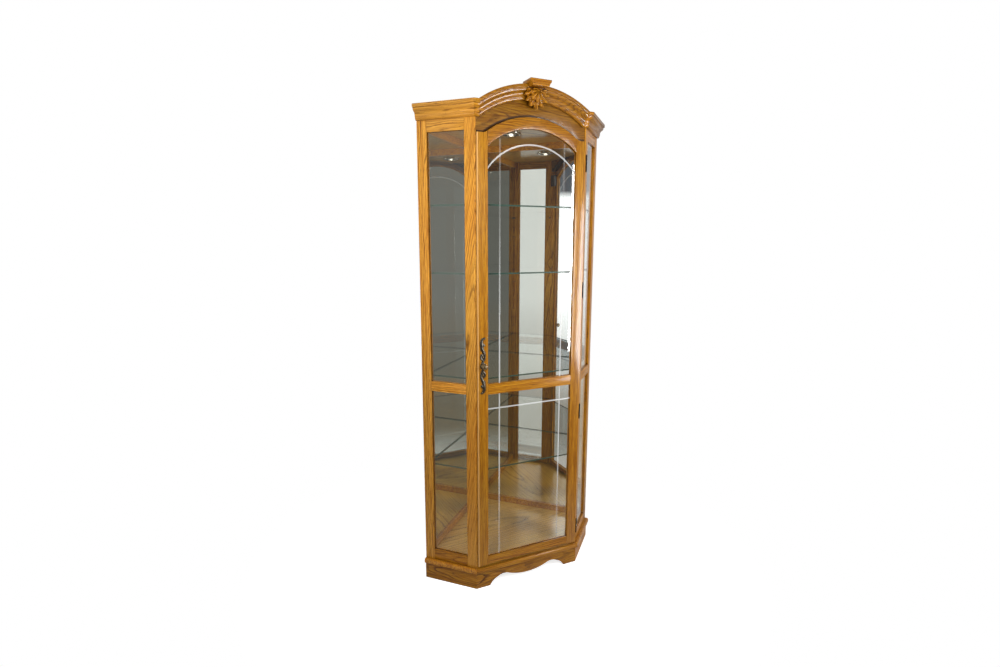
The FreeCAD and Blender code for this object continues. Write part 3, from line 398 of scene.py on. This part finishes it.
def cut_grooves(g, facing, glass):
    """Frosted cuts on the faces that slope away from the pane's face, with a painted glow for the light they
    refract.
    """
    cut = principled(g, Base_Color=(0.70, 0.72, 0.72, 1), Roughness=0.2, Alpha=0.42)
    # A painted glow: the cuts shine a little though no lamp is in them.
    cut.inputs["Emission Color"].default_value = (0.95, 0.97, 1.0, 1)
    cut.inputs["Emission Strength"].default_value = 0.22
    sloping = g.math("MULTIPLY", g.range(facing, 0.6, 0.7), g.range(facing, 0.96, 0.985, 1.0, 0.0))
    return g.mix_shaders(g.math("MULTIPLY", sloping, painted_groove_light(g)), glass, cut.outputs[0])


def clear_pane(name, face, tint, edge_colour, cut=False):
    """Thin clear glass whose edges show their green depth; face is the way that its faces point."""
    material, g = new_material(name)
    clear = plain_glass(g, tint)
    facing = g.math("ABSOLUTE", g.dot(g.node("ShaderNodeTexCoord").outputs["Normal"], face))
    edge = principled(g, Base_Color=(*edge_colour, 1), Roughness=0.15, Alpha=0.9)
    whole = g.mix_shaders(g.range(facing, 0.5, 0.6, 1.0, 0.0), clear, edge.outputs[0])
    if cut:
        whole = cut_grooves(g, facing, whole)
    g.surface(whole)
    return material


def mirror():
    material, g = new_material("mirror_silver")
    haze = g.noise(g.stretch(g.place(), (3, 3, 3)), 1.0, 3, 0.6)
    silver = g.ramp(haze, [(0.2, (0.77, 0.79, 0.77)), (0.8, (0.82, 0.84, 0.82))])
    shader = principled(g, Base_Color=silver, Metallic=1.0, Roughness=0.0)
    g.surface(shader.outputs[0])
    return material


def metal(name, colour, rough):
    material, g = new_material(name)
    spots = g.noise(g.place(), 260, 4, 0.6)
    duller = tuple(part * 0.7 for part in colour)
    base = g.mix(g.range(spots, 0.3, 0.8), (*colour, 1), (*duller, 1))
    uneven = g.range(spots, 0.2, 0.8, rough, rough + 0.15)
    shader = principled(g, Base_Color=base, Metallic=1.0, Roughness=uneven)
    g.link(g.bump(spots, 0.0002, 0.3), shader.inputs["Normal"])
    g.surface(shader.outputs[0])
    return material


# ---------------------------------------------------------------- dressing the frame

def dress(node, material):
    data = nodes[node].data
    data.materials.clear()
    data.materials.append(material)


# Radii of the easing on the door's outer edges and on all others, in metres.
WIDE_EASE = 0.0038
SMALL_EASE = 0.0014
WIDELY_EASED = ("door_stile_left", "door_stile_right", "door_bottom_rail")


def on_door_rim(point):
    """True on the front edge at the sides and the foot of the door."""
    if abs(point.y - DOOR_FRONT_Y) > NEAR:
        return False
    return abs(abs(point.x) - DOOR_HALF) < NEAR or abs(point.z - DOOR_LOW) < NEAR


def ease_share(node, edge):
    """How wide the easing of one edge is, as a part of the widest."""
    if node in WIDELY_EASED and all(on_door_rim(v.co) for v in edge.verts):
        return 1.0
    return SMALL_EASE / WIDE_EASE


def mark_edges(data, node):
    """Merge the mesh's flat parts and give its sharp edges their easing."""
    shape = bmesh.new()
    shape.from_mesh(data)
    bmesh.ops.remove_doubles(shape, verts=shape.verts, dist=1e-6)
    bmesh.ops.dissolve_limit(shape, angle_limit=math.radians(0.6), verts=shape.verts, edges=shape.edges)
    weight = shape.edges.layers.float.new("bevel_weight_edge")
    for edge in shape.edges:
        if edge.calc_face_angle(0) > math.radians(32):
            edge[weight] = ease_share(node, edge)
    shape.to_mesh(data)
    shape.free()


def new_piece(name, data, finish):
    """A smooth-shaded object of one material."""
    data.materials.clear()
    data.materials.append(finish)
    for face in data.polygons:
        face.use_smooth = True
    piece = bpy.data.objects.new(name, data)
    bpy.context.scene.collection.objects.link(piece)
    return piece


def rounded(node, finish):
    """A copy of a CAD piece whose edges are eased, as sanded wood is."""
    source = nodes[node]
    data = source.data.copy()
    mark_edges(data, node)
    piece = new_piece("eased_" + node, data, finish)
    ease = piece.modifiers.new("ease", "BEVEL")
    ease.width = WIDE_EASE
    ease.segments = 3
    ease.limit_method = "WEIGHT"
    ease.harden_normals = True
    body = source["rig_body"]
    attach(piece, body)
    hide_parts(node)


# How each board lies, and its heart: sideways offset, depth, and taper along the board.
BOARDS = {
    "left_rear_stile": (LEFT_UP, (0.045, 0.07, 0.030)),
    "left_front_stile": (LEFT_SLANTED, (-0.030, 0.06, 0.022)),
    "left_top_rail": (LEFT_LEVEL, (0.05, 0.05, 0.02)),
    "left_mid_rail": (LEFT_LEVEL, (0.03, 0.05, 0.02)),
    "left_bottom_rail": (LEFT_LEVEL, (0.004, 0.05, 0.05)),
    "right_rear_stile": (RIGHT_UP, (0.03, 0.07, 0.02)),
    "right_front_stile": (RIGHT_UP, (0.05, 0.07, 0.02)),
    "right_top_rail": (RIGHT_LEVEL, (0.04, 0.05, 0.02)),
    "right_mid_rail": (RIGHT_LEVEL, (0.03, 0.05, 0.02)),
    "right_bottom_rail": (RIGHT_LEVEL, (0.01, 0.05, 0.04)),
    "door_stile_left": (FRONT_UP, (0.055, 0.06, 0.012)),
    "door_stile_right": (FRONT_UP, (-0.045, 0.06, 0.015)),
    "door_top_rail": (FRONT_LEVEL, (-0.09, 0.10, 0.01)),
    "door_mid_rail": (FRONT_LEVEL, (0.05, 0.05, 0.02)),
    "door_bottom_rail": (FRONT_LEVEL, (0.03, 0.05, 0.035)),
    "frieze_board": (FRONT_LEVEL, (0.025, 0.08, 0.07)),
    "crown_arch": (FRONT_LEVEL, (0.06, 0.09, 0.03)),
    "crown_returns": (FRONT_LEVEL, (0.05, 0.08, 0.02)),
    "crown_left": (LEFT_LEVEL, (0.06, 0.09, 0.01)),
    "crown_right": (RIGHT_LEVEL, (0.06, 0.09, 0.01)),
    "keystone_cap": (FRONT_LEVEL, (0.05, 0.05, 0.02)),
    "plinth_front": (FRONT_LEVEL, (0.006, 0.06, 0.045)),
    "plinth_left": (LEFT_LEVEL, (-0.004, 0.05, 0.07)),
    "plinth_right": (RIGHT_LEVEL, (0.01, 0.06, 0.05)),
    "plinth_cap_front": (FRONT_LEVEL, (0.04, 0.05, 0.02)),
    "rear_corner_post": (FRONT_UP, (0.03, 0.07, 0.02)),
    "back_bottom_rails": (FRONT_LEVEL, (0.012, 0.06, 0.05)),
    "back_top_rails": (FRONT_LEVEL, (0.04, 0.06, 0.02)),
    "plinth_cap_sides": ((Y, Z, X), (0.04, 0.05, 0.02)),
    "side_glass_stops": (FRONT_UP, (0.04, 0.05, 0.01)),
    "door_glass_stops": (FRONT_UP, (0.04, 0.05, 0.01)),
}
# How light each board is beside plain golden oak. This is partly each board's own tone and partly painted
# light and shade:
# the frieze is painted darker for the shade under the crown, the plinth darker low down, and the left boards
# lighter where the light falls.
SHADES = {"frieze_board": 0.42, "crown_arch": 0.56, "keystone_cap": 0.75, "door_top_rail": 0.58,
          "crown_returns": 0.80, "plinth_left": 0.70, "plinth_front": 0.64, "plinth_cap_front": 0.72,
          "left_rear_stile": 1.15, "left_front_stile": 1.15, "left_mid_rail": 1.40, "left_bottom_rail": 0.80,
          "back_bottom_rails": 0.90, "crown_right": 0.52, "crown_left": 0.92, "door_stile_left": 0.74,
          "door_stile_right": 0.76, "door_mid_rail": 0.88, "door_bottom_rail": 0.72}
# How far from a corner the painted shade reaches, in metres.
NOOKS = {"frieze_board": 0.020, "plinth_cap_front": 0.030, "plinth_cap_sides": 0.030, "crown_arch": 0.016,
         "crown_left": 0.020, "left_front_stile": 0.004, "door_stile_left": 0.004, "door_bottom_rail": 0.012,
         "left_bottom_rail": 0.012}
# How much lacquer lies on each board.
COATS = {"plinth_front": 0.12, "plinth_left": 0.12, "plinth_right": 0.12, "plinth_cap_front": 0.25,
         "door_bottom_rail": 0.20, "left_bottom_rail": 0.20, "frieze_board": 0.30, "crown_arch": 0.85,
         "door_stile_left": 0.15, "left_front_stile": 0.25, "left_rear_stile": 0.30, "left_mid_rail": 0.30,
         "door_mid_rail": 0.30}
# How strong each board's streaks are.
FIGURES = {"crown_left": 0.45, "left_top_rail": 0.6, "left_front_stile": 0.8, "door_stile_left": 0.8}
# Each board's seed is this far past the one before.
SEED_STEP = 1.618
# The boards at the left front get paler, bluer tones: a painted sheen of the light from the left.
SHEEN_TONES = ((0.60, 0.305, 0.046), GOLDEN[1])
SHEEN_BOARDS = ("left_rear_stile", "left_front_stile", "left_mid_rail", "left_top_rail", "crown_left")
VENEERED = ((0.54, 0.330, 0.065), (0.30, 0.165, 0.028))
PLYWOOD = ((0.46, 0.31, 0.17), (0.33, 0.20, 0.10))
VENEERS = {
    "bottom_panel": (FLAT, (0.0, 0.10, 0.05), 0.010),
    "top_panel": (FLAT, (0.1, 0.10, 0.03), 0.010),
    "back_panel_left": (LEFT_UP, (0.05, 0.12, 0.04), 0.012),
    "back_panel_right": (RIGHT_UP, (0.03, 0.12, 0.04), 0.012),
}
# Strips and small mouldings that keep their sharp CAD edges.
PLAIN_STRIPS = ("side_glass_stops", "door_glass_stops", "plinth_cap_sides", "back_bottom_rails",
                "back_top_rails")


def dress_boards(seeds):
    for node, (directions, heart) in BOARDS.items():
        tones = SHEEN_TONES if node in SHEEN_BOARDS else GOLDEN
        finish = oak("oak_" + node, directions, middle(node), next(seeds), heart, tones=tones,
                     shade=SHADES.get(node, 1.0), nook_reach=NOOKS.get(node, 0.007),
                     figure=FIGURES.get(node, 1.0), coat=COATS.get(node, 0.5))
        if node in PLAIN_STRIPS:
            dress(node, finish)
        else:
            rounded(node, finish)


def dress_veneers(seeds):
    for node, (directions, heart, spacing) in VENEERS.items():
        tones = PLYWOOD if node.startswith("back") else VENEERED
        dress(node, oak("veneer_" + node, directions, middle(node), next(seeds), heart, spacing, tones, 0.30,
                        figure=0.45, coat=0.8))


def dress_wood():
    """Every board has its own seed, so no two have the same grain."""
    seeds = itertools.count(1.0 + SEED_STEP, SEED_STEP)
    carved_leaf(oak("oak_carved_leaf", FRONT_UP, middle("keystone_carving"), 7.7, (0.03, 0.05, 0.02),
                    shade=0.72, nook_reach=0.018))
    dress_boards(seeds)
    dress_veneers(seeds)


# ---------------------------------------------------------------- carved leaf

LOBE = math.radians(26)
LOBED_TO = math.radians(117)
LEAF_BACK = Vector((0, -0.004, 0))
RINGS, SPOKES = 26, 216


def lobe_rib(angle, width):
    """1 along the middle of each lobe, 0 in the valleys between them; plain behind the cap."""
    if abs(angle) > LOBED_TO:
        return 0.6
    return 0.5 + 0.5 * math.cos(2 * math.pi * angle / width)


def leaf_reach(angle, size):
    """Distance from the heart to the leaf's outline, an ellipse that is flatter above the heart."""
    half_wide, tall, rise = size
    height = rise if math.cos(angle) < 0 else tall
    return 1 / math.hypot(math.sin(angle) / half_wide, math.cos(angle) / height)


def leaf_point(heart, size, width, relief, angle, reach):
    """A point of the leaf's face: reach runs from 0 at the heart to 1 at the outline."""
    proud, fall, curl = relief
    rib = lobe_rib(angle, width)
    radius = leaf_reach(angle, size) * reach
    radius *= 1 - 0.24 * (1 - rib ** 0.8) * reach ** 2
    vein = math.exp(-((1 - rib) / 0.035)) * 0.0011 * reach
    swell = 0.0062 * (rib - 0.5) * math.sin(math.pi * min(reach, 0.96) ** 0.9)
    ridge = swell + 0.0022 * (rib - 0.5) * reach
    tip = curl * max(0.0, reach - 0.72) / 0.28 * rib
    depth = proud - fall * reach ** 1.4 + ridge + tip - vein
    return (heart.x + radius * math.sin(angle), heart.y - depth, heart.z - radius * math.cos(angle))


def leaf_tier(shape, heart, size, width, relief):
    """One tier of the acanthus: lobes that fan out and down from the heart, with veins and curled tips."""
    angles = [-math.pi + 2 * math.pi * spoke / SPOKES for spoke in range(SPOKES)]
    rows = []
    for ring in range(1, RINGS + 1):
        points = [leaf_point(heart, size, width, relief, angle, ring / RINGS) for angle in angles]
        rows.append([shape.verts.new(point) for point in points])
    centre = shape.verts.new((heart.x, heart.y - relief[0], heart.z))
    rim = [shape.verts.new(heart + LEAF_BACK + 0.86 * Vector((v.co.x - heart.x, 0, v.co.z - heart.z)))
           for v in rows[-1]]
    back = shape.verts.new(heart + LEAF_BACK)
    for spoke in range(SPOKES):
        after = (spoke + 1) % SPOKES
        shape.faces.new((centre, rows[0][spoke], rows[0][after]))
        for inner, outer in zip(rows, rows[1:] + [rim]):
            shape.faces.new((inner[spoke], outer[spoke], outer[after], inner[after]))
        shape.faces.new((back, rim[after], rim[spoke]))


def carved_leaf(finish):
    """Two tiers of lobes, each with half its width, its fall and its rise, then how it stands out."""
    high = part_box("keystone_carving")[1]
    heart = Vector((0, high.y, high.z - 0.013))
    shape = bmesh.new()
    leaf_tier(shape, heart, (0.0500, 0.0600, 0.014), LOBE, (0.037, 0.012, 0.007))
    leaf_tier(shape, heart, (0.0320, 0.0390, 0.012), LOBE * 1.6, (0.0450, 0.008, 0.005))
    bmesh.ops.recalc_face_normals(shape, faces=shape.faces)
    data = bpy.data.meshes.new("carved_leaf")
    shape.to_mesh(data)
    shape.free()
    piece = new_piece("carved_leaf", data, finish)
    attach(piece, "case")
    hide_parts("keystone_carving")


# ---------------------------------------------------------------- cast handle plate

# Centre lines of the upper half's scrolls: across and up from the knob, and radius, in millimetres.
SCROLLS = (
    ((6.2, 103.6, 6.6), (5.6, 105.0, 6.2), (1.6, 105.4, 5.4), (-3.0, 101, 5.8), (-5.6, 93, 6.6),
     (-5.8, 84, 7.0), (-4.0, 72, 6.8), (-0.8, 61, 6.4), (4.0, 52, 5.8), (7.4, 43.5, 5.0),
     (7.8, 34.5, 4.6), (5.0, 25.5, 4.9), (-0.2, 18, 5.4), (-2.2, 9, 6.0)),
    ((0.5, 20.5, 4.2), (-5.8, 25.5, 4.5), (-8.6, 34.5, 4.5), (-6.8, 42.5, 4.2), (-2.0, 46.4, 3.6)),
    ((-5.6, 88, 5.2), (-0.5, 84.5, 5.4), (4.4, 80, 4.8), (7.6, 76.6, 3.9)),
    ((-7.0, 70, 4.0), (-7.6, 64, 3.2), (-6.4, 59.5, 2.4)),
)
ROSETTE_RADIUS = 9.4
# Fineness of the cast surface, in metres.
VOXEL = 0.0005


def stroke(name, points):
    """A round stroke that swells and thins along a smooth line."""
    data = bpy.data.curves.new(name, "CURVE")
    data.dimensions = "3D"
    data.bevel_depth = 1.0
    data.bevel_resolution = 5
    data.use_fill_caps = True
    line = data.splines.new("NURBS")
    line.points.add(len(points) - 1)
    for point, (across, up, radius) in zip(line.points, points):
        point.co = (across * MM, 0, up * MM, 1)
        point.radius = radius * MM
    line.order_u = 3
    line.use_endpoint_u = True
    line.resolution_u = 8
    return data


def merged(curves):
    """The strokes as one mesh in a bmesh."""
    shape = bmesh.new()
    for data in curves:
        holder = bpy.data.objects.new("stroke", data)
        bpy.context.scene.collection.objects.link(holder)
        bpy.context.view_layer.update()
        mesh = bpy.data.meshes.new_from_object(holder.evaluated_get(bpy.context.evaluated_depsgraph_get()))
        shape.from_mesh(mesh)
        bpy.data.objects.remove(holder)
    return shape


def add_ball(shape, size, place, segments):
    """A ball of the given half sizes, in millimetres."""
    ball = bmesh.ops.create_uvsphere(shape, u_segments=segments, v_segments=segments // 2, radius=1.0)
    bmesh.ops.scale(shape, vec=Vector(size) * MM, verts=ball["verts"])
    bmesh.ops.translate(shape, vec=Vector(place) * MM, verts=ball["verts"])


def scrollwork():
    """All the strokes and balls of the plate, as overlapping closed shapes."""
    strokes = []
    for turn in (1, -1):
        for number, points in enumerate(SCROLLS):
            placed = [(across * turn, up * turn, radius) for across, up, radius in points]
            strokes.append(stroke(f"scroll_{turn}_{number}", placed))
    around = [(ROSETTE_RADIUS * math.cos(a), ROSETTE_RADIUS * math.sin(a), 3.0)
              for a in (math.radians(15 * step) for step in range(25))]
    strokes.append(stroke("rosette_rim", around))
    shape = merged(strokes)
    for turn in (1, -1):
        add_ball(shape, (8, 3.6, 8), (0.4 * turn, 0, 35.5 * turn), 24)
    add_ball(shape, (10, 4.5, 10), (0, 0, 0), 32)
    bmesh.ops.scale(shape, vec=(1, 0.66, 1), verts=shape.verts)
    return shape


def made_one(shape):
    """The overlapping shapes as one smooth closed mesh."""
    data = bpy.data.meshes.new("cast_core")
    shape.to_mesh(data)
    shape.free()
    core = bpy.data.objects.new("cast_core", data)
    bpy.context.scene.collection.objects.link(core)
    skin = core.modifiers.new("skin", "REMESH")
    skin.mode = "VOXEL"
    skin.voxel_size = VOXEL
    calm = core.modifiers.new("calm", "SMOOTH")
    calm.iterations = 3
    bpy.context.view_layer.update()
    solid = bpy.data.meshes.new_from_object(core.evaluated_get(bpy.context.evaluated_depsgraph_get()))
    bpy.data.objects.remove(core)
    return solid


def handle_plate(finish):
    """The cast plate in its place on the door, cut flat where it lies on the wood."""
    low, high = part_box("handle_backplate")
    centre = (low + high) / 2
    data = made_one(scrollwork())
    shape = bmesh.new()
    shape.from_mesh(data)
    bmesh.ops.translate(shape, vec=(centre.x, high.y, centre.z), verts=shape.verts)
    everything = shape.verts[:] + shape.edges[:] + shape.faces[:]
    bmesh.ops.bisect_plane(shape, geom=everything, plane_co=(0, high.y, 0), plane_no=(0, 1, 0),
                           clear_outer=True)
    shape.to_mesh(data)
    shape.free()
    piece = new_piece("cast_plate", data, finish)
    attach(piece, "door")
    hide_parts("handle_backplate")


def antique_bronze(name, rubbed_from):
    """Grey-brown bronze, rubbed to gold on the high parts and dark in the low ones."""
    material, g = new_material(name)
    edges = g.node("ShaderNodeNewGeometry").outputs["Pointiness"]
    spots = g.noise(g.place(), 420, 4, 0.65)
    high_parts = g.range(edges, rubbed_from, 0.58, smooth=True)
    worn = g.math("MULTIPLY", high_parts, g.range(spots, 0.35, 0.6), clamp=True)
    brown = g.ramp(spots, [(0.3, (0.055, 0.050, 0.042)), (0.7, (0.16, 0.142, 0.115))])
    colour = g.mix(worn, brown, (0.85, 0.58, 0.24, 1))
    nook = g.node("ShaderNodeAmbientOcclusion", samples=6)
    nook.inputs["Distance"].default_value = 0.006
    low_parts = g.range(nook.outputs["AO"], 0.35, 0.85, 0.85, 0.0, True)
    colour = g.mix(low_parts, colour, (0.012, 0.009, 0.006, 1))
    shader = principled(g, Base_Color=colour, Metallic=1.0, Roughness=g.range(spots, 0.2, 0.8, 0.20, 0.40))
    g.link(g.bump(spots, 0.0003, 0.35), shader.inputs["Normal"])
    g.surface(shader.outputs[0])
    return material


def frosted_bulb():
    """Frosted glass, lit from inside."""
    material, g = new_material("frosted_bulb")
    mist = g.noise(g.place(), 300, 3, 0.6)
    tone = g.ramp(mist, [(0.3, (1.0, 0.95, 0.84)), (0.7, (1.0, 0.99, 0.95))])
    shader = principled(g, Base_Color=tone, Roughness=0.35)
    g.link(tone, shader.inputs["Emission Color"])
    shader.inputs["Emission Strength"].default_value = 6.0
    g.surface(shader.outputs[0])
    return material


def brown_plastic():
    material, g = new_material("brown_plastic")
    specks = g.noise(g.place(), 600, 3, 0.6)
    tone = g.ramp(specks, [(0.3, (0.030, 0.016, 0.010)), (0.7, (0.055, 0.030, 0.018))])
    shader = principled(g, Base_Color=tone, Roughness=g.range(specks, 0.2, 0.8, 0.38, 0.55))
    g.link(g.bump(specks, 0.0001, 0.3), shader.inputs["Normal"])
    g.surface(shader.outputs[0])
    return material


PANE_TINT, PANE_EDGE = (0.985, 0.992, 0.988), (0.16, 0.30, 0.24)
SHELF_TINT, SHELF_EDGE = (0.955, 0.98, 0.968), (0.022, 0.06, 0.042)
SHELVES = ("shelf_1", "shelf_2", "shelf_3", "shelf_4")
HINGE_PARTS = ("hinge_frame_leaves", "hinge_door_leaves", "hinge_pins")
NICKEL_PARTS = ("shelf_pins", "light_housing", "light_trim_ring", "hinge_frame_screws", "hinge_door_screws",
                "catch_plate")


def dress_all(names, material):
    for node in names:
        dress(node, material)


def dress_glass():
    door_pane = clear_pane("clear_pane_door", (0, 1, 0), PANE_TINT, PANE_EDGE, True)
    dress_all(("door_glass_upper", "door_glass_lower"), door_pane)
    side_pane = clear_pane("clear_pane_side", (0, 1, 0), PANE_TINT, PANE_EDGE)
    dress_all(("side_glass_upper", "side_glass_lower"), side_pane)
    dress_all(SHELVES, clear_pane("clear_shelf", (0, 0, 1), SHELF_TINT, SHELF_EDGE))
    dress_all(("mirror_left", "mirror_right"), mirror())


def dress_metal():
    bronze = antique_bronze("antique_bronze", 0.50)
    dress("handle_screws", bronze)
    handle_plate(bronze)
    dress("handle_knob", antique_bronze("rubbed_bronze", 0.46))
    dress_all(HINGE_PARTS, metal("black_hinge", (0.03, 0.03, 0.032), 0.35))
    dress_all(NICKEL_PARTS, metal("nickel", (0.72, 0.70, 0.66), 0.12))


# ---------------------------------------------------------------- stage, world and lamps

def grey(value):
    return (value, value, value)


def pale_floor():
    """White that fades out, so that the floor has no edge; it looks brighter than the light it gives."""
    material, g = new_material("pale_floor")
    place = g.place()
    reach = g.node("ShaderNodeVectorMath", operation="LENGTH")
    g.link(place, reach.inputs[0])
    fade = g.range(reach.outputs["Value"], 0.5, 1.15, 1.0, 0.0, True)
    tone = g.ramp(g.noise(place, 90, 3, 0.6), [(0.0, grey(0.60)), (1.0, grey(0.68))])
    shader = principled(g, Base_Color=tone, Roughness=0.7, Alpha=fade)
    shader.inputs["Emission Color"].default_value = (1, 1, 1, 1)
    seen = g.node("ShaderNodeLightPath").outputs["Is Camera Ray"]
    g.link(g.range(seen, 0, 1, 0.06, 0.80), shader.inputs["Emission Strength"])
    g.surface(shader.outputs[0])
    return material


def stage():
    """A pale disc under the cabinet that fades into the white around it."""
    shape = bmesh.new()
    bmesh.ops.create_circle(shape, cap_ends=True, radius=1.6, segments=96)
    data = bpy.data.meshes.new("studio_floor")
    shape.to_mesh(data)
    shape.free()
    floor = bpy.data.objects.new("studio_floor", data)
    bpy.context.scene.collection.objects.link(floor)
    data.materials.append(pale_floor())


# The walls of the room, as shares of a turn from the back, by the left, the front and the right.
DIM_TO, WINDOW_FROM, WINDOW_TO = 0.3325, 0.3345, 0.362
WALLS = ((0.0, grey(0.25)), (0.28, (0.46, 0.46, 0.44)), (DIM_TO, (0.46, 0.46, 0.44)),
         (WINDOW_FROM, (0.9, 0.9, 0.92)), (WINDOW_TO, (0.9, 0.9, 0.92)), (0.374, (0.085, 0.082, 0.073)),
         (0.46, (0.08, 0.076, 0.066)), (0.55, grey(0.10)), (0.66, grey(0.20)), (0.76, grey(0.28)),
         (1.0, grey(0.25)))


def room_colour(g):
    """A room to reflect: a bright window at the front left, grey walls, a dark ceiling, a brown floor."""
    sideways, back, up = g.split(g.node("ShaderNodeTexCoord").outputs["Generated"])
    bearing = g.math("ARCTAN2", sideways, g.math("MULTIPLY", back, -1.0))
    turn = g.range(bearing, -math.pi, math.pi)
    walls = g.ramp(turn, WALLS)
    # The wall is dark over the window, and a lamp high up beyond it glares in the cabinet's floor.
    at_window = g.math("MULTIPLY", g.range(turn, DIM_TO, WINDOW_FROM),
                       g.range(turn, WINDOW_TO, 0.372, 1.0, 0.0))
    over_window = g.math("MULTIPLY", at_window, g.range(up, 0.078, 0.090))
    walls = g.mix(over_window, walls, (0.055, 0.060, 0.070, 1))
    ground = g.tinted(walls, (0.95, 0.74, 0.50, 1))
    ground = g.mix(0.25, ground, (0.22, 0.16, 0.10, 1))
    ground = g.mix(g.range(turn, WINDOW_TO, 0.375, 1.0, 0.0), ground, (0.20, 0.185, 0.165, 1))
    lower = g.mix(g.range(up, -0.30, -0.10), ground, walls)
    whole = g.mix(g.range(up, 0.45, 0.62, smooth=True), lower, (0.22, 0.21, 0.20, 1))
    glare = g.math("MULTIPLY", g.range(turn, 0.334, 0.340), g.range(turn, 0.348, 0.360, 1.0, 0.0))
    glare = g.math("MULTIPLY", glare, g.range(up, 0.42, 0.54))
    return g.mix(glare, whole, (6.0, 6.2, 6.2, 1))


def world():
    """White as seen directly, the room as reflected, and a dim warm copy of it as light."""
    space = bpy.data.worlds.new("studio")
    bpy.context.scene.world = space
    space.use_nodes = True
    g = Graph(space.node_tree)
    room = room_colour(g)
    path = g.node("ShaderNodeLightPath")
    lighting = path.outputs["Is Diffuse Ray"]
    reflected = g.node("ShaderNodeBackground")
    warm = g.tinted(room, (1.0, 0.70, 0.40, 1))
    g.link(g.mix(lighting, room, warm), reflected.inputs["Color"])
    g.link(g.range(lighting, 0, 1, 2.0, 0.23), reflected.inputs["Strength"])
    white = g.node("ShaderNodeBackground")
    white.inputs["Color"].default_value = (1, 1, 1, 1)
    white.inputs["Strength"].default_value = 1.0
    seen = g.mix_shaders(path.outputs["Is Camera Ray"], reflected.outputs[0], white.outputs[0])
    out = g.node("ShaderNodeOutputWorld")
    g.link(seen, out.inputs[0])


def lamp(name, place, aim, size, power, glossy=False):
    data = bpy.data.lights.new(name, "AREA")
    data.shape = "RECTANGLE"
    data.size, data.size_y = size
    data.energy = power
    item = bpy.data.objects.new(name, data)
    bpy.context.scene.collection.objects.link(item)
    item.location = place
    item.rotation_euler = (Vector(aim) - Vector(place)).to_track_quat("-Z", "Y").to_euler()
    item.visible_glossy = glossy


def inside_fill():
    """A soft glow inside the case, as its ceiling light and mirrors give it."""
    data = bpy.data.lights.new("inside_fill", "POINT")
    data.energy = 1.7
    data.shadow_soft_size = 0.12
    item = bpy.data.objects.new("inside_fill", data)
    bpy.context.scene.collection.objects.link(item)
    item.location = (0, -0.02, 1.25)
    item.visible_glossy = False


# ---------------------------------------------------------------- camera

EYE = (-0.974, -1.842 + FRONT_Y, 1.404)
TURN, TILT, ROLL = math.radians(24.57), math.radians(-9.77), math.radians(0.139)


def camera():
    """The viewpoint: 1.4 m up, in front and to the left, turned 24.6 degrees to the right."""
    data = bpy.data.cameras.new("camera")
    data.lens = 19.2
    data.sensor_width = 36
    item = bpy.data.objects.new("camera", data)
    bpy.context.scene.collection.objects.link(item)
    ahead = Vector((math.sin(TURN) * math.cos(TILT), math.cos(TURN) * math.cos(TILT), math.sin(TILT)))
    across = Vector((math.cos(TURN), -math.sin(TURN), 0))
    up = across.cross(ahead)
    right = math.cos(ROLL) * across + math.sin(ROLL) * up
    top = math.cos(ROLL) * up - math.sin(ROLL) * across
    facing = Matrix((right, top, -ahead)).transposed()
    item.matrix_world = Matrix.Translation(EYE) @ facing.to_4x4()
    bpy.context.scene.camera = item


def settings():
    """Plain colours, and enough bounces to see through the panes and their reflections."""
    scene = bpy.context.scene
    scene.view_settings.view_transform = "Standard"
    scene.cycles.max_bounces = 24
    scene.cycles.transmission_bounces = 16
    scene.cycles.transparent_max_bounces = 48
    scene.cycles.glossy_bounces = 12


dress_wood()
dress_glass()
dress_metal()
dress("light_bulb", frosted_bulb())
dress("magnetic_catch", brown_plastic())
stage()
world()
lamp("key", (-1.15, -1.05, 1.65), (-0.3, -0.2, 1.60), (0.6, 0.6), 17)
lamp("front", (0.0, -1.6, 1.75), (0, -0.2, 1.70), (0.6, 0.6), 11)
lamp("softbox", (1.25, -1.68, 1.27), (0.1, -0.2, 1.3), (0.32, 1.35), 31, True)
inside_fill()
camera()
settings()
